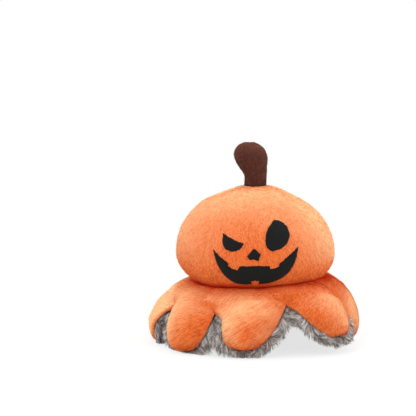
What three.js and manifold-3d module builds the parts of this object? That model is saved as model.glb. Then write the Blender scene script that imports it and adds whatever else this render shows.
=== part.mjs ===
// Stuffed pumpkin dog toy that turns inside out: a plush pumpkin head with a jack-o'-lantern face and a
// stem, on a skirt of eight padded legs, lined with long grey fur that forms a pocket inside the head.
// Millimetres, +Z up, the face looks along -Y, and the origin is on the floor under the middle of the head.
import * as THREE from 'three';
import { mergeVertices } from 'three/addons/utils/BufferGeometryUtils.js';
import Module from 'manifold-3d';

const wasm = await Module();
wasm.setup();

const DEGREE = Math.PI / 180;
const { lerp, smoothstep } = THREE.MathUtils;

// Cloth and clearances
const PLUSH = 2.4; // short-pile plush, backing and pile together
const FUR = 3.6; // long-pile fur, pressed flat
const FELT = 1.2; // face appliques
const GAP = 0.4; // between layers that lie on each other
const SEAM = 0.8; // between the two cloths of a leg along their seam
const PANEL_SEAM = 0.3; // between a front panel and its back panel
const CORE_RADIUS = 1.5; // hole along the axis, in the gathered middle of the fur and the stuffing
const NECK_GAP = 0.5; // between the head and the skirt that it turns on

// Skirt: a ring under the head whose outer edge is an octagon of leg hinges
const HINGE_Z = 49; // over the floor
const HINGE_OUT = 13.5; // from the crease out to the hinges
const BULGE_OUT = 6.5; // from the crease out to the skirt's fullest ring
const BULGE_DROP = 1.2; // from the crease down to that ring
const SKIRT_NECK_DEPTH = 6.1; // from the plush down to the fur, at the neck
const SKIRT_NECK_STEP = 2; // from the pocket's neck out to the skirt's fur

// Head: a squashed round with its widest ring low down, resting in the skirt up to the crease
const HEAD_RADIUS = 68.7;
const HEAD_RISE = 57;
const HEAD_DROP = 36.5;
const CREASE_IN = 12.2; // from the widest ring in to the crease
const CREASE_RISE = 7.2; // from the leg hinges up to the crease
const NECK_IN = 16.5; // from the crease in to the neck

// Stem: a club that leans to the left, on a round root that turns in the head
const STEM_RADIUS = 9;
const STEM_PIVOT_LIFT = 1; // of the root's centre over the top of the head
const STEM_KNOB_X = -3.6;
const STEM_KNOB_LIFT = 22; // of the knob's centre over the root's centre
const STEM_KNOB_WIDTH = 28.4;
const STEM_KNOB_DEPTH = 24;
const STEM_KNOB_RISE = 13.4;
const STEM_CLEARANCE = 1.8; // round the root, in the head's plush, to let the stem lean

// Squeaker: in a chamber of the head's stuffing, under the stem's root
const SQUEAKER_RADIUS = 17;
const SQUEAKER_PLATE = 2; // thickness of its base and of its cap
const BELLOWS_HEIGHT = 13; // of the pleated wall
const SQUEAKER_PLEATS = 3;
const SQUEAKER_PLEAT_DEPTH = 3;
const SQUEAKER_WALL = 0.9;
const SQUEAKER_ROOF = 9; // stuffing over the chamber
const SQUEAKER_FLOOR = 3.5; // stuffing under the chamber
const REED_RADIUS = 3;
const REED_FLANGE_RADIUS = 4.5;
const REED_FLANGE = 1.5;
const REED_TUBE_RADIUS = 2;
const REED_TUBE = 4; // height over the flange

// Pocket of fur inside the head
const POCKET_IN = 26.7; // from the head's widest ring in to the pocket's
const POCKET_BELOW = 11; // from the head's widest ring down to the pocket's
const POCKET_DROP = 37;
const POCKET_NECK_IN = 7; // from the head's neck in to the pocket's
const PATCH_RADIUS = 9;
const SMALL_EYE_RADIUS = 3;

// Drawings of the faces: steps from the middle to the widest ring of the round that carries each
const FACE_STEPS = 68.7;
const POCKET_FACE_STEPS = 42;

// Legs: padded tongues bent round an axis under the skirt
const LEG_NAMES = ['front', 'front_right', 'right', 'back_right', 'back', 'back_left', 'left', 'front_left'];
const RAISED_LEG = 'front_right'; // stands clear of the floor, the other legs carry the toy
const RAISED_LEG_LIFT = 12 * DEGREE;
const LEG_BEND_RADIUS = 54.4; // of the orange side, along the middle of a leg
const LEG_ROOT_SLOPE = 38 * DEGREE;
const LEG_PUFF = 8; // stuffing on each side of the seam
const PADDING_POWER = 0.7; // how full a leg stays towards its seam, less is fuller
const LEG_TIP_START = 0.42; // share of the leg's length where its round tip begins
const LEG_NOTCH = 12; // between the seams of two legs where their round tips begin
const LEG_FRINGE = 3; // fur past the seam
const LEG_FOOT = 1; // depth cut off the fur where it stands on the floor
const LEG_SIDE_CLEARANCE = 0.5; // from each leg's root to the plane between it and the next
const LEG_DROOP_RELIEF = 7 * DEGREE; // wedge that lets a leg hang lower than it stands

// Facets
const HALF_COLUMNS = 14; // round half of the head
const HEAD_STEPS = 9; // from the stem to the neck
const POCKET_STEPS = 5;
const SECTOR_COLUMNS = 4; // along one side of the skirt's octagon
const STEM_COLUMNS = 12;
const STEM_STEPS = 3; // in each of its root, shaft and knob
const STEM_POLE = 85 * DEGREE; // where the knob and the root close
const SQUEAKER_COLUMNS = 14;
const CURVE_STEPS = 3; // along one curve of an outline
const LEG_COLUMNS = [-1, -0.6, -0.2, 0.2, 0.6, 1];
const LEG_ROOT_ROWS = 2;
const LEG_TIP_ROWS = 4;
const LEG_TIP_END = 80 * DEGREE;

const COLOURS = {
  plush: 0xee8246,
  fur: 0x918a85,
  stem: 0x55302a,
  felt: 0x202121,
  tongue: 0xe8a48c,
  fill: 0xefece6,
  shell: 0xd9dcdd,
  reed: 0xf2f2ee,
};

// Helpers that make closed solids

// A closed geometry, turned so that its faces point out.
function closedGeometry(points, triangles) {
  const cross = new THREE.Vector3();
  let volume = 0;
  for (const [a, b, c] of triangles) volume += points[a].dot(cross.crossVectors(points[b], points[c]));
  const faces = volume < 0 ? triangles.map(([a, b, c]) => [a, c, b]) : triangles;
  const geometry = new THREE.BufferGeometry().setFromPoints(points);
  geometry.setIndex(faces.flat());
  geometry.computeVertexNormals();
  return geometry;
}

// A point of the toy at a radius and height, turned from the front towards +X.
function around(radius, z, azimuth) {
  return new THREE.Vector3(radius * Math.sin(azimuth), -radius * Math.cos(azimuth), z);
}

// The front half (side -1) or back half (side 1) of a closed profile of (radius, z) points swept round +Z.
function halfTurn(profile, side) {
  const size = profile.length;
  const points = [];
  for (let c = 0; c <= HALF_COLUMNS; c++) {
    const azimuth = (side * Math.PI) / 2 + (Math.PI * c) / HALF_COLUMNS;
    for (const p of profile) points.push(around(p.x, p.y, azimuth));
  }
  const triangles = [];
  for (let here = 0; here < HALF_COLUMNS * size; here += size) {
    const next = here + size;
    for (let i = 0; i < size; i++) {
      const k = (i + 1) % size;
      triangles.push([here + i, next + i, next + k], [here + i, next + k, here + k]);
    }
  }
  const last = HALF_COLUMNS * size;
  const turnsLeft = !THREE.ShapeUtils.isClockWise(profile);
  for (const [a, b, c] of THREE.ShapeUtils.triangulateShape(profile, [])) {
    const [d, e] = turnsLeft ? [b, c] : [c, b];
    triangles.push([a, d, e], [last + a, last + e, last + d]);
  }
  return closedGeometry(points, triangles);
}

// The solid between two sheets of points, in rows of columns. A loop joins the last column to the first.
function slab(upper, lower, loop = false) {
  const rows = upper.length;
  const columns = upper[0].length;
  const points = [...upper.flat(), ...lower.flat()];
  const top = (r, c) => r * columns + (c % columns);
  const bottom = (r, c) => rows * columns + top(r, c);
  const triangles = [];
  const quad = (a, b, c, d) => triangles.push([a, b, c], [a, c, d]);
  const across = loop ? columns : columns - 1;
  for (let r = 0; r + 1 < rows; r++) {
    for (let c = 0; c < across; c++) {
      quad(top(r, c), top(r, c + 1), top(r + 1, c + 1), top(r + 1, c));
      quad(bottom(r, c), bottom(r + 1, c), bottom(r + 1, c + 1), bottom(r, c + 1));
    }
    if (!loop) {
      quad(top(r, 0), top(r + 1, 0), bottom(r + 1, 0), bottom(r, 0));
      quad(top(r, across), bottom(r, across), bottom(r + 1, across), top(r + 1, across));
    }
  }
  for (let c = 0; c < across; c++) {
    quad(top(0, c), bottom(0, c), bottom(0, c + 1), top(0, c + 1));
    quad(top(rows - 1, c), top(rows - 1, c + 1), bottom(rows - 1, c + 1), bottom(rows - 1, c));
  }
  return closedGeometry(points, triangles);
}

// A ring of (radius, z) points turned round +Z, which starts and ends on the axis or closes on itself.
function lathe(points) {
  const profile = points.map(([r, z]) => new THREE.Vector2(r, z));
  return new THREE.LatheGeometry(profile, SQUEAKER_COLUMNS).rotateX(Math.PI / 2);
}

// A geometry as a solid that can be cut, and back.
function solid(geometry) {
  const bare = geometry.clone();
  bare.deleteAttribute('normal');
  bare.deleteAttribute('uv');
  const merged = mergeVertices(bare);
  const vertProperties = merged.attributes.position.array;
  const triVerts = new Uint32Array(merged.index.array);
  return new wasm.Manifold(new wasm.Mesh({ numProp: 3, vertProperties, triVerts }));
}

function geometryOf(manifold) {
  const mesh = manifold.getMesh();
  const geometry = new THREE.BufferGeometry();
  geometry.setAttribute('position', new THREE.BufferAttribute(mesh.vertProperties, 3));
  geometry.setIndex(new THREE.BufferAttribute(mesh.triVerts, 1));
  geometry.computeVertexNormals();
  return geometry;
}

function addMesh(group, name, geometry, color, roughness = 0.9) {
  const mesh = new THREE.Mesh(geometry, new THREE.MeshStandardMaterial({ color, roughness, metalness: 0 }));
  mesh.name = name;
  group.add(mesh);
  return mesh;
}

// Adds a front and a back piece, a seam apart. make(side) gives the geometry of each.
function addHalves(group, part, piece, make, color) {
  for (const [half, side] of [['front', -1], ['back', 1]]) {
    const mesh = addMesh(group, `${part}_${half}_${piece}`, make(side), color);
    mesh.position.y = (side * PANEL_SEAM) / 2;
  }
}

// Head and pocket: rounds of (radius, z) whose lower half is shallower or deeper than the upper half

class Round {
  constructor(radius, centreZ, rise, drop) {
    Object.assign(this, { radius, centreZ, rise, drop });
  }

  // Sets the opening at the top, the neck and the number of steps between them.
  open(topRadius, neckRadius, steps) {
    this.top = Math.acos(topRadius / this.radius);
    this.neck = this.under(neckRadius);
    this.steps = steps;
    return this;
  }

  // The latitude of the lower half at a radius.
  under(radius) {
    return -Math.acos(radius / this.radius);
  }

  // The point at a latitude, moved outwards by a distance.
  at(latitude, out = 0) {
    const height = latitude > 0 ? this.rise : this.drop;
    const x = Math.cos(latitude);
    const y = Math.sin(latitude);
    const normal = new THREE.Vector2(x / this.radius, y / height).normalize();
    return new THREE.Vector2(this.radius * x, this.centreZ + height * y).addScaledVector(normal, out);
  }

  // The points from the top to the neck, moved outwards by a distance.
  arc(out) {
    const latitude = (i) => lerp(this.top, this.neck, i / this.steps);
    return Array.from({ length: this.steps + 1 }, (_, i) => this.at(latitude(i), out));
  }

  // The closed profile of a layer of cloth.
  layer(outer, inner) {
    return [...this.arc(outer), ...this.arc(inner).reverse()];
  }
}

const creaseRadius = HEAD_RADIUS - CREASE_IN;
const creaseZ = HINGE_Z + CREASE_RISE;
const hingeRadius = creaseRadius + HINGE_OUT;
const neckRadius = creaseRadius - NECK_IN;
const pocketRadius = HEAD_RADIUS - POCKET_IN;
const pocketNeckRadius = neckRadius - POCKET_NECK_IN;
const headCentreZ = creaseZ + HEAD_DROP * Math.sqrt(1 - (creaseRadius / HEAD_RADIUS) ** 2);
const stemPivotZ = headCentreZ + HEAD_RISE + STEM_PIVOT_LIFT;

// Heights in the stack from the stem's root down to the pocket's ceiling
const stemSeatZ = stemPivotZ - STEM_RADIUS - GAP;
const chamberTopZ = stemSeatZ - SQUEAKER_ROOF;
const capZ = chamberTopZ - GAP - SQUEAKER_PLATE;
const bellowsZ = capZ - GAP - BELLOWS_HEIGHT;
const baseZ = bellowsZ - GAP - SQUEAKER_PLATE;
const chamberFloorZ = baseZ - GAP;
const pocketCentreZ = headCentreZ - POCKET_BELOW;
const pocketRise = chamberFloorZ - SQUEAKER_FLOOR - GAP - pocketCentreZ;

const head = new Round(HEAD_RADIUS, headCentreZ, HEAD_RISE, HEAD_DROP)
  .open(STEM_RADIUS + STEM_CLEARANCE, neckRadius, HEAD_STEPS);
const pocket = new Round(pocketRadius, pocketCentreZ, pocketRise, POCKET_DROP)
  .open(CORE_RADIUS, pocketNeckRadius, POCKET_STEPS);

const toy = new THREE.Group();
const headGroup = new THREE.Group();
toy.add(headGroup);

addHalves(headGroup, 'head', 'panel', (side) => halfTurn(head.layer(0, -PLUSH), side), COLOURS.plush);
addHalves(headGroup, 'pocket', 'panel', (side) => halfTurn(pocket.layer(0, -FUR), side), COLOURS.fur);

// Stuffing fills the head between plush and fur, round the squeaker's chamber and a seat for the stem's root.
function headStuffing(side) {
  const outside = head.arc(-PLUSH - GAP);
  const chamberRadius = SQUEAKER_RADIUS + GAP;
  return halfTurn([
    ...outside,
    ...pocket.arc(GAP).reverse(),
    new THREE.Vector2(CORE_RADIUS, chamberFloorZ),
    new THREE.Vector2(chamberRadius, chamberFloorZ),
    new THREE.Vector2(chamberRadius, chamberTopZ),
    new THREE.Vector2(CORE_RADIUS, chamberTopZ),
    new THREE.Vector2(CORE_RADIUS, stemSeatZ),
    new THREE.Vector2(outside[0].x, stemSeatZ),
  ], side);
}

addHalves(headGroup, 'head', 'stuffing', headStuffing, COLOURS.fill);

// Squeaker: a pleated bellows between a base with a reed in it and a cap

function addSqueaker(group) {
  const hole = REED_RADIUS + GAP;
  const baseTop = baseZ + SQUEAKER_PLATE;
  const rim = SQUEAKER_RADIUS;
  const base = [[hole, baseZ], [rim, baseZ], [rim, baseTop], [hole, baseTop], [hole, baseZ]];
  addMesh(group, 'squeaker_base', lathe(base), COLOURS.shell, 0.4);

  const capTop = capZ + SQUEAKER_PLATE;
  const cap = [[0, capZ], [rim, capZ], [rim, capTop], [0, capTop]];
  addMesh(group, 'squeaker_cap', lathe(cap), COLOURS.shell, 0.4);

  const folds = Array.from({ length: 2 * SQUEAKER_PLEATS + 1 }, (_, i) => i);
  const foldHeight = BELLOWS_HEIGHT / (2 * SQUEAKER_PLEATS);
  const outside = folds.map((i) => [rim - (i % 2) * SQUEAKER_PLEAT_DEPTH, bellowsZ + foldHeight * i]);
  const inside = outside.map(([r, z]) => [r - SQUEAKER_WALL, z]).reverse();
  addMesh(group, 'squeaker_bellows', lathe([...outside, ...inside, outside[0]]), COLOURS.shell, 0.4);

  const flangeTop = bellowsZ + REED_FLANGE;
  const reed = [
    [0, baseZ],
    [REED_RADIUS, baseZ],
    [REED_RADIUS, bellowsZ],
    [REED_FLANGE_RADIUS, bellowsZ],
    [REED_FLANGE_RADIUS, flangeTop],
    [REED_TUBE_RADIUS, flangeTop],
    [REED_TUBE_RADIUS, flangeTop + REED_TUBE],
    [0, flangeTop + REED_TUBE],
  ];
  addMesh(group, 'squeaker_reed', lathe(reed), COLOURS.reed, 0.3);
}

addSqueaker(headGroup);

// Faces: felt outlines pressed onto the cloth

// A shape from a start point and its edges, in steps of a length, with heights over z. An edge is a corner
// [x, z], or a curve [control x, control z, end x, end z].
function outline(step, z, start, edges) {
  const shape = new THREE.Shape();
  shape.moveTo(step * start[0], z + step * start[1]);
  for (const [x1, z1, x2, z2] of edges) {
    if (x2 === undefined) shape.lineTo(step * x1, z + step * z1);
    else shape.quadraticCurveTo(step * x1, z + step * z1, step * x2, z + step * z2);
  }
  return shape;
}

// The part of a layer on a round that an outline covers, on the front (side -1) or the back (side 1).
function applique(shape, round, inner, outer, side) {
  const depth = 2 * round.radius;
  const prism = new THREE.ExtrudeGeometry(shape, { depth, bevelEnabled: false, curveSegments: CURVE_STEPS });
  prism.rotateX(Math.PI / 2);
  if (side > 0) prism.translate(0, depth, 0);
  const layer = halfTurn(round.layer(outer, inner), side).translate(0, (side * PANEL_SEAM) / 2, 0);
  return geometryOf(solid(prism).intersect(solid(layer)));
}

// The jack-o'-lantern face on the front of the head, with heights over the crease.
function addFace(group) {
  const drawn = (start, edges) => outline(HEAD_RADIUS / FACE_STEPS, creaseZ, start, edges);
  const shapes = {
    winking_eye: drawn([-25.1, 43.7], [
      [-17, 38.3, -8.7, 36],
      [-9.5, 30.8, -17.6, 29.5],
      [-26, 29.8, -25.8, 38.3],
    ]),
    open_eye: drawn([16.5, 54.2], [
      [27, 53.3, 28.9, 42.8],
      [28.3, 33.3, 19, 30.8],
      [12, 28.3, 9.6, 34.8],
      [7.5, 46.3, 16.5, 54.2],
    ]),
    nose: drawn([-0.3, 32.6], [
      [5.3, 27.6],
      [3.3, 21.9],
      [-0.3, 23.4],
      [-3.6, 22.9],
      [-5.8, 26.1],
    ]),
    mouth: drawn([-33.1, 30.6], [
      [-29, 24.8, -20.8, 20],
      [-21.3, 17.5],
      [-18.5, 15.3, -13.2, 14.1],
      [-12, 17.8],
      [12.4, 17.8],
      [13.2, 15.4],
      [17.5, 15.3, 20.1, 17.6],
      [20.1, 19.3],
      [28, 25.3, 35.8, 32.6],
      [35, 19.3, 27, 11],
      [19, 2.6, 3.9, 2.1],
      [4.3, 5.4],
      [-2.3, 4.6],
      [-2, 2.1],
      [-14.5, 0, -22, 7.3],
      [-31.5, 15.8, -33.1, 30.6],
    ]),
  };
  for (const [name, shape] of Object.entries(shapes)) {
    addMesh(group, name, applique(shape, head, GAP, GAP + FELT, -1), COLOURS.felt, 1);
  }
}

addFace(headGroup);

// The grey side's face on the back wall of the pocket, with heights over the pocket's widest ring.
function addPocketFace(group) {
  const step = pocketRadius / POCKET_FACE_STEPS;
  const drawn = (start, edges) => outline(step, pocketCentreZ, start, edges);
  const disc = (x, z, radius) =>
    new THREE.Shape().absarc(step * x, pocketCentreZ + step * z, radius, 0, 2 * Math.PI);
  const shapes = {
    eye_patch: disc(-14, 3, PATCH_RADIUS),
    patch_strap_left: drawn([-23.6, 4], [[-32, 1], [-32.6, 4], [-22.8, 7.2]]),
    patch_strap_right: drawn([-5.2, 8.2], [[17, 12], [16.4, 15], [-6.9, 11]]),
    small_eye: disc(13, 3, SMALL_EYE_RADIUS),
    small_mouth: drawn([-7, -6], [[0, -9, 7, -6], [5, -11, 0, -11], [-5, -11, -7, -6]]),
    tongue: drawn([-2.6, -11.6], [[2.6, -11.6], [3.6, -16.5, 0, -16.5], [-3.6, -16.5, -2.6, -11.6]]),
  };
  for (const [name, shape] of Object.entries(shapes)) {
    const colour = name === 'tongue' ? COLOURS.tongue : COLOURS.felt;
    addMesh(group, name, applique(shape, pocket, -FUR - GAP - FELT, -FUR - GAP, 1), colour, 1);
  }
}

addPocketFace(headGroup);

// Stem: a club of plush over stuffing

// The club as a stack of oval rings, taken in by a distance all round.
function stemRings(inset) {
  const knobZ = stemPivotZ + STEM_KNOB_LIFT;
  const rootRadius = STEM_RADIUS - inset;
  const knobWidth = STEM_KNOB_WIDTH / 2 - inset;
  const knobDepth = STEM_KNOB_DEPTH / 2 - inset;
  const rings = [];
  for (let i = 0; i < STEM_STEPS; i++) {
    const a = STEM_POLE * (1 - i / STEM_STEPS);
    const radius = rootRadius * Math.cos(a);
    rings.push({ x: 0, z: stemPivotZ - rootRadius * Math.sin(a), width: radius, depth: radius });
  }
  for (let i = 0; i < STEM_STEPS; i++) {
    const up = i / STEM_STEPS;
    const s = smoothstep(up, 0, 1);
    rings.push({
      x: STEM_KNOB_X * s,
      z: lerp(stemPivotZ, knobZ, up),
      width: lerp(rootRadius, knobWidth, s),
      depth: lerp(rootRadius, knobDepth, s),
    });
  }
  for (let i = 0; i <= STEM_STEPS; i++) {
    const a = (STEM_POLE * i) / STEM_STEPS;
    rings.push({
      x: STEM_KNOB_X,
      z: knobZ + (STEM_KNOB_RISE - inset) * Math.sin(a),
      width: knobWidth * Math.cos(a),
      depth: knobDepth * Math.cos(a),
    });
  }
  return rings;
}

// Points round a ring, starting at an azimuth.
function ringPoints(ring, from, turn, columns) {
  return Array.from({ length: columns + 1 }, (_, c) => {
    const a = from + (turn * c) / columns;
    return new THREE.Vector3(ring.x + ring.width * Math.sin(a), -ring.depth * Math.cos(a), ring.z);
  });
}

// A closed stack of rings, with a point in the middle of each end.
function stack(rings) {
  const size = STEM_COLUMNS;
  const points = rings.flatMap((ring) => ringPoints(ring, 0, 2 * Math.PI, size).slice(0, size));
  const [first, last] = [rings[0], rings.at(-1)];
  const foot = points.push(new THREE.Vector3(first.x, 0, first.z)) - 1;
  const crown = points.push(new THREE.Vector3(last.x, 0, last.z)) - 1;
  const lastRow = (rings.length - 1) * size;
  const triangles = [];
  for (let c = 0; c < size; c++) {
    const next = (c + 1) % size;
    for (let row = 0; row < lastRow; row += size) {
      const above = row + size;
      triangles.push([row + c, row + next, above + next], [row + c, above + next, above + c]);
    }
    triangles.push([foot, next, c], [crown, lastRow + c, lastRow + next]);
  }
  return closedGeometry(points, triangles);
}

function addStem(group) {
  const half = (inset, side) =>
    stemRings(inset).map((ring) => ringPoints(ring, (side * Math.PI) / 2, Math.PI, STEM_COLUMNS / 2));
  addHalves(group, 'stem', 'panel', (side) => slab(half(0, side), half(PLUSH, side)), COLOURS.stem);
  addMesh(group, 'stem_stuffing', stack(stemRings(PLUSH + GAP)), COLOURS.fill);
}

const stemGroup = new THREE.Group();
headGroup.add(stemGroup);
addStem(stemGroup);

// Skirt and legs share the bend axis of a leg, and the distances from it of the seam and of the fur

const SECTOR = (2 * Math.PI) / LEG_NAMES.length;
const WEDGE = Math.tan(SECTOR / 2); // half-width over radius, at the plane between two legs
const bendRadius = hingeRadius - LEG_BEND_RADIUS * Math.sin(LEG_ROOT_SLOPE);
const bendZ = HINGE_Z - LEG_BEND_RADIUS * Math.cos(LEG_ROOT_SLOPE);
const seamDistance = LEG_BEND_RADIUS - PLUSH - LEG_PUFF - SEAM / 2;
const coverDistance = seamDistance + SEAM / 2;
const liningDistance = seamDistance - SEAM / 2;
const furDistance = liningDistance - LEG_PUFF - FUR; // along the middle of a leg

// Radius and height of a point in a leg, from its distance to the bend axis and its slope.
function inLeg(distance, slope) {
  return { r: bendRadius + distance * Math.sin(slope), z: bendZ + distance * Math.cos(slope) };
}

// Height of the padding across a leg, from its middle at 0 to its seam at 1.
function padding(across) {
  return LEG_PUFF * Math.max(0, 1 - across * across) ** PADDING_POWER;
}

// The rows of the skirt's plush that go all round, from the neck out to the fullest ring.
function skirtRows() {
  const dish = [neckRadius, (neckRadius + creaseRadius) / 2, creaseRadius];
  const rows = dish.map((radius) => head.at(head.under(radius), NECK_GAP));
  return [...rows, new THREE.Vector2(creaseRadius + BULGE_OUT, creaseZ - BULGE_DROP)];
}

// A point of the skirt's edge, in the plane of a leg's root, at a depth under the plush or over the fur.
function skirtEdge(column, depth, fromFur) {
  const leg = Math.floor(column / SECTOR_COLUMNS);
  const across = -1 + (2 * (column % SECTOR_COLUMNS)) / SECTOR_COLUMNS;
  const top = coverDistance + padding(across) + PLUSH;
  const bottom = liningDistance - padding(across) - FUR;
  const p = inLeg(fromFur ? bottom + depth : top - depth, LEG_ROOT_SLOPE - GAP / 2 / LEG_BEND_RADIUS);
  const azimuth = Math.atan(across * WEDGE);
  return around(p.r / Math.cos(azimuth), p.z, leg * SECTOR + azimuth);
}

// A sheet of the skirt's ring at a depth under the plush, or over the fur.
function skirtSheet(depth, fromFur = false) {
  const rows = skirtRows();
  const furNeck = new THREE.Vector2(pocketNeckRadius + SKIRT_NECK_STEP, rows[0].y - SKIRT_NECK_DEPTH);
  const edge = inLeg(furDistance, LEG_ROOT_SLOPE);
  const furEdge = new THREE.Vector2(edge.r, edge.z);
  const columns = Array.from({ length: SECTOR_COLUMNS * LEG_NAMES.length }, (_, c) => c);
  const sheet = rows.map((plush, i) => {
    const fur = furNeck.clone().lerp(furEdge, i / rows.length);
    const down = fur.clone().sub(plush).normalize();
    const p = fromFur ? fur.addScaledVector(down, -depth) : plush.addScaledVector(down, depth);
    return columns.map((c) => around(p.x, p.y, (c / SECTOR_COLUMNS - 0.5) * SECTOR));
  });
  return [...sheet, columns.map((c) => skirtEdge(c, depth, fromFur))];
}

function addSkirt(group) {
  const layers = [
    ['cover', skirtSheet(0), skirtSheet(PLUSH), COLOURS.plush],
    ['stuffing', skirtSheet(PLUSH + GAP), skirtSheet(FUR + GAP, true), COLOURS.fill],
    ['lining', skirtSheet(FUR, true), skirtSheet(0, true), COLOURS.fur],
  ];
  for (const [name, upper, lower, colour] of layers) {
    addMesh(group, `skirt_${name}`, slab(upper, lower, true), colour);
  }
}

addSkirt(toy);

// Legs: sheets of points in rows from the root to the tip, for a leg that points to the front

// Slope, half-width over radius, and fullness of each row. A fringe widens the cloth all round.
function legRows(fringe) {
  const footSlope = Math.acos((-LEG_FOOT - bendZ) / liningDistance);
  const seamEnd = footSlope - LEG_FRINGE / seamDistance;
  const tipSlope = lerp(LEG_ROOT_SLOPE, seamEnd, LEG_TIP_START);
  const endSlope = seamEnd + fringe / seamDistance;
  const tipRadius = inLeg(seamDistance, tipSlope).r;
  const tipWidth = WEDGE + (fringe - LEG_NOTCH / 2) / tipRadius;
  const rootRadius = inLeg(furDistance, LEG_ROOT_SLOPE).r;
  const rootWidth = WEDGE + (fringe - LEG_FRINGE - LEG_SIDE_CLEARANCE) / rootRadius;
  const rows = [];
  for (let i = 0; i < LEG_ROOT_ROWS; i++) {
    const s = i / LEG_ROOT_ROWS;
    rows.push({
      root: i === 0,
      slope: lerp(LEG_ROOT_SLOPE, tipSlope, s),
      width: lerp(rootWidth, tipWidth, s),
      full: 1,
    });
  }
  for (let i = 0; i <= LEG_TIP_ROWS; i++) {
    const a = (LEG_TIP_END * i) / LEG_TIP_ROWS;
    const left = (Math.cos(a) - Math.cos(LEG_TIP_END)) / (1 - Math.cos(LEG_TIP_END));
    rows.push({
      root: false,
      slope: lerp(tipSlope, endSlope, Math.sin(a) / Math.sin(LEG_TIP_END)),
      width: tipWidth * Math.cos(a),
      full: Math.max(0, left) ** PADDING_POWER,
    });
  }
  return rows;
}

// A sheet of a leg. distance(puff) is how far it lies from the bend axis where the padding has that height.
function legSheet(rows, columns, distance) {
  return rows.map((row) => columns.map((across) => {
    const far = distance(row.full * padding(across));
    const relief = GAP / 2 + (LEG_BEND_RADIUS - far) * Math.tan(LEG_DROOP_RELIEF);
    const p = inLeg(far, row.root ? row.slope + relief / far : row.slope);
    return new THREE.Vector3(across * row.width * p.r, -p.r, p.z);
  }));
}

// Turns a leg's piece up about its hinge, and cuts it level with the floor where it reaches lower.
function placeLegPiece(geometry, lift) {
  geometry.translate(0, hingeRadius, -HINGE_Z).rotateX(-lift).translate(0, -hingeRadius, HINGE_Z);
  geometry.computeBoundingBox();
  if (geometry.boundingBox.min.z >= 0) return geometry;
  const wide = 4 * hingeRadius;
  const below = new THREE.BoxGeometry(wide, wide, HINGE_Z).translate(0, 0, -HINGE_Z / 2);
  return geometryOf(solid(geometry).subtract(solid(below)));
}

function addLeg(name, index) {
  const rows = legRows(0);
  const furRows = legRows(LEG_FRINGE);
  const cloth = (distance) => legSheet(rows, LEG_COLUMNS, distance);
  const fill = (distance) => legSheet(rows.slice(0, -1), LEG_COLUMNS.slice(1, -1), distance);
  const fur = (distance) => legSheet(furRows, LEG_COLUMNS, distance);
  const pieces = {
    cover: slab(cloth((puff) => coverDistance + puff + PLUSH), cloth((puff) => coverDistance + puff)),
    stuffing: slab(fill((puff) => coverDistance + puff - GAP), fill((puff) => liningDistance - puff + GAP)),
    lining: slab(fur((puff) => liningDistance - puff), fur((puff) => liningDistance - puff - FUR)),
  };
  const colours = { cover: COLOURS.plush, stuffing: COLOURS.fill, lining: COLOURS.fur };
  const group = new THREE.Group();
  group.rotation.z = index * SECTOR;
  toy.add(group);
  const lift = name === RAISED_LEG ? RAISED_LEG_LIFT : 0;
  for (const [piece, geometry] of Object.entries(pieces)) {
    addMesh(group, `${name}_leg_${piece}`, placeLegPiece(geometry, lift), colours[piece]);
  }
}

LEG_NAMES.forEach(addLeg);

export default toy;
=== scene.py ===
"""Looks of the stuffed pumpkin dog toy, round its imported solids.

Plush, fur, felt and wadding are built here in millimetres and placed in metres, in the frame of the solids:
+Z up, the face looks along -Y, and the origin is on the floor under the middle of the head.
"""

import math

import bmesh
import bpy
import numpy as np
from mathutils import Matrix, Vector
from mathutils.bvhtree import BVHTree
from mathutils.geometry import delaunay_2d_cdt


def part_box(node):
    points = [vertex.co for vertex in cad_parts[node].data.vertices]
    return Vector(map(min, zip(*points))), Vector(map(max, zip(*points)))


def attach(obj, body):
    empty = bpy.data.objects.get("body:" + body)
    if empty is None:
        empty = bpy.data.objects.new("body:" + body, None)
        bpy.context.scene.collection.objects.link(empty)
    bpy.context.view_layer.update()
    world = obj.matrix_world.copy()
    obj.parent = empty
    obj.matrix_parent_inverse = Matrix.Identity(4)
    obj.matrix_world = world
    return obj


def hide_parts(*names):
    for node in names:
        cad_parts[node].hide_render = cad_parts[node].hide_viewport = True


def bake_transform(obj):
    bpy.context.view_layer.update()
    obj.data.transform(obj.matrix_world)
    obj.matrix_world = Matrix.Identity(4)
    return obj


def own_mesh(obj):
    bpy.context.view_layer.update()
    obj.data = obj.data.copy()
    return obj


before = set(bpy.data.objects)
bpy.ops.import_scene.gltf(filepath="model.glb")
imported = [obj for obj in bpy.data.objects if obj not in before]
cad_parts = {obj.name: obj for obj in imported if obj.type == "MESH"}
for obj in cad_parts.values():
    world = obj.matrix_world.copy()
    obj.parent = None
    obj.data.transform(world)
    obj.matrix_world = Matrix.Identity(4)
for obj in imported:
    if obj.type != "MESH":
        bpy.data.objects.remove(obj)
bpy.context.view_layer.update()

MM = 0.001
SIDES = {"front": -1, "back": 1}
# Distances in metres under which points are merged, and under which an edge has no length
MERGED = 0.02 * MM
NO_LENGTH = 0.01 * MM

# Camera: where it stands, and the pixel of the square picture where the middle of the toy falls
PICTURE = 416
TARGET = Vector((0, 0, 0.085))
TARGET_PIXEL = (254.5, 242.8)
ELEVATION = math.radians(7)
DISTANCE = 1.4
LENS = 142
SENSOR = 36
# Lamps: place in metres, power and size
LAMPS = {
    "key": ((-0.55, -0.8, 1.0), 5.4, 0.8),
    "fill": ((0.7, -0.9, 0.7), 3.2, 0.9),
    "left": ((-1.2, 0.15, 0.7), 4.4, 0.8),
    "right": ((1.2, 0.15, 0.7), 7.2, 0.8),
    "top": ((0.0, 0.2, 1.3), 4.1, 0.9),
}
WHITE = (1, 1, 1, 1)
AMBIENT = 0.65
FLOOR_HALF = 3000
FLOOR_GREYS = ((0.93, 0.93, 0.93, 1), (0.95, 0.95, 0.95, 1))
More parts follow.
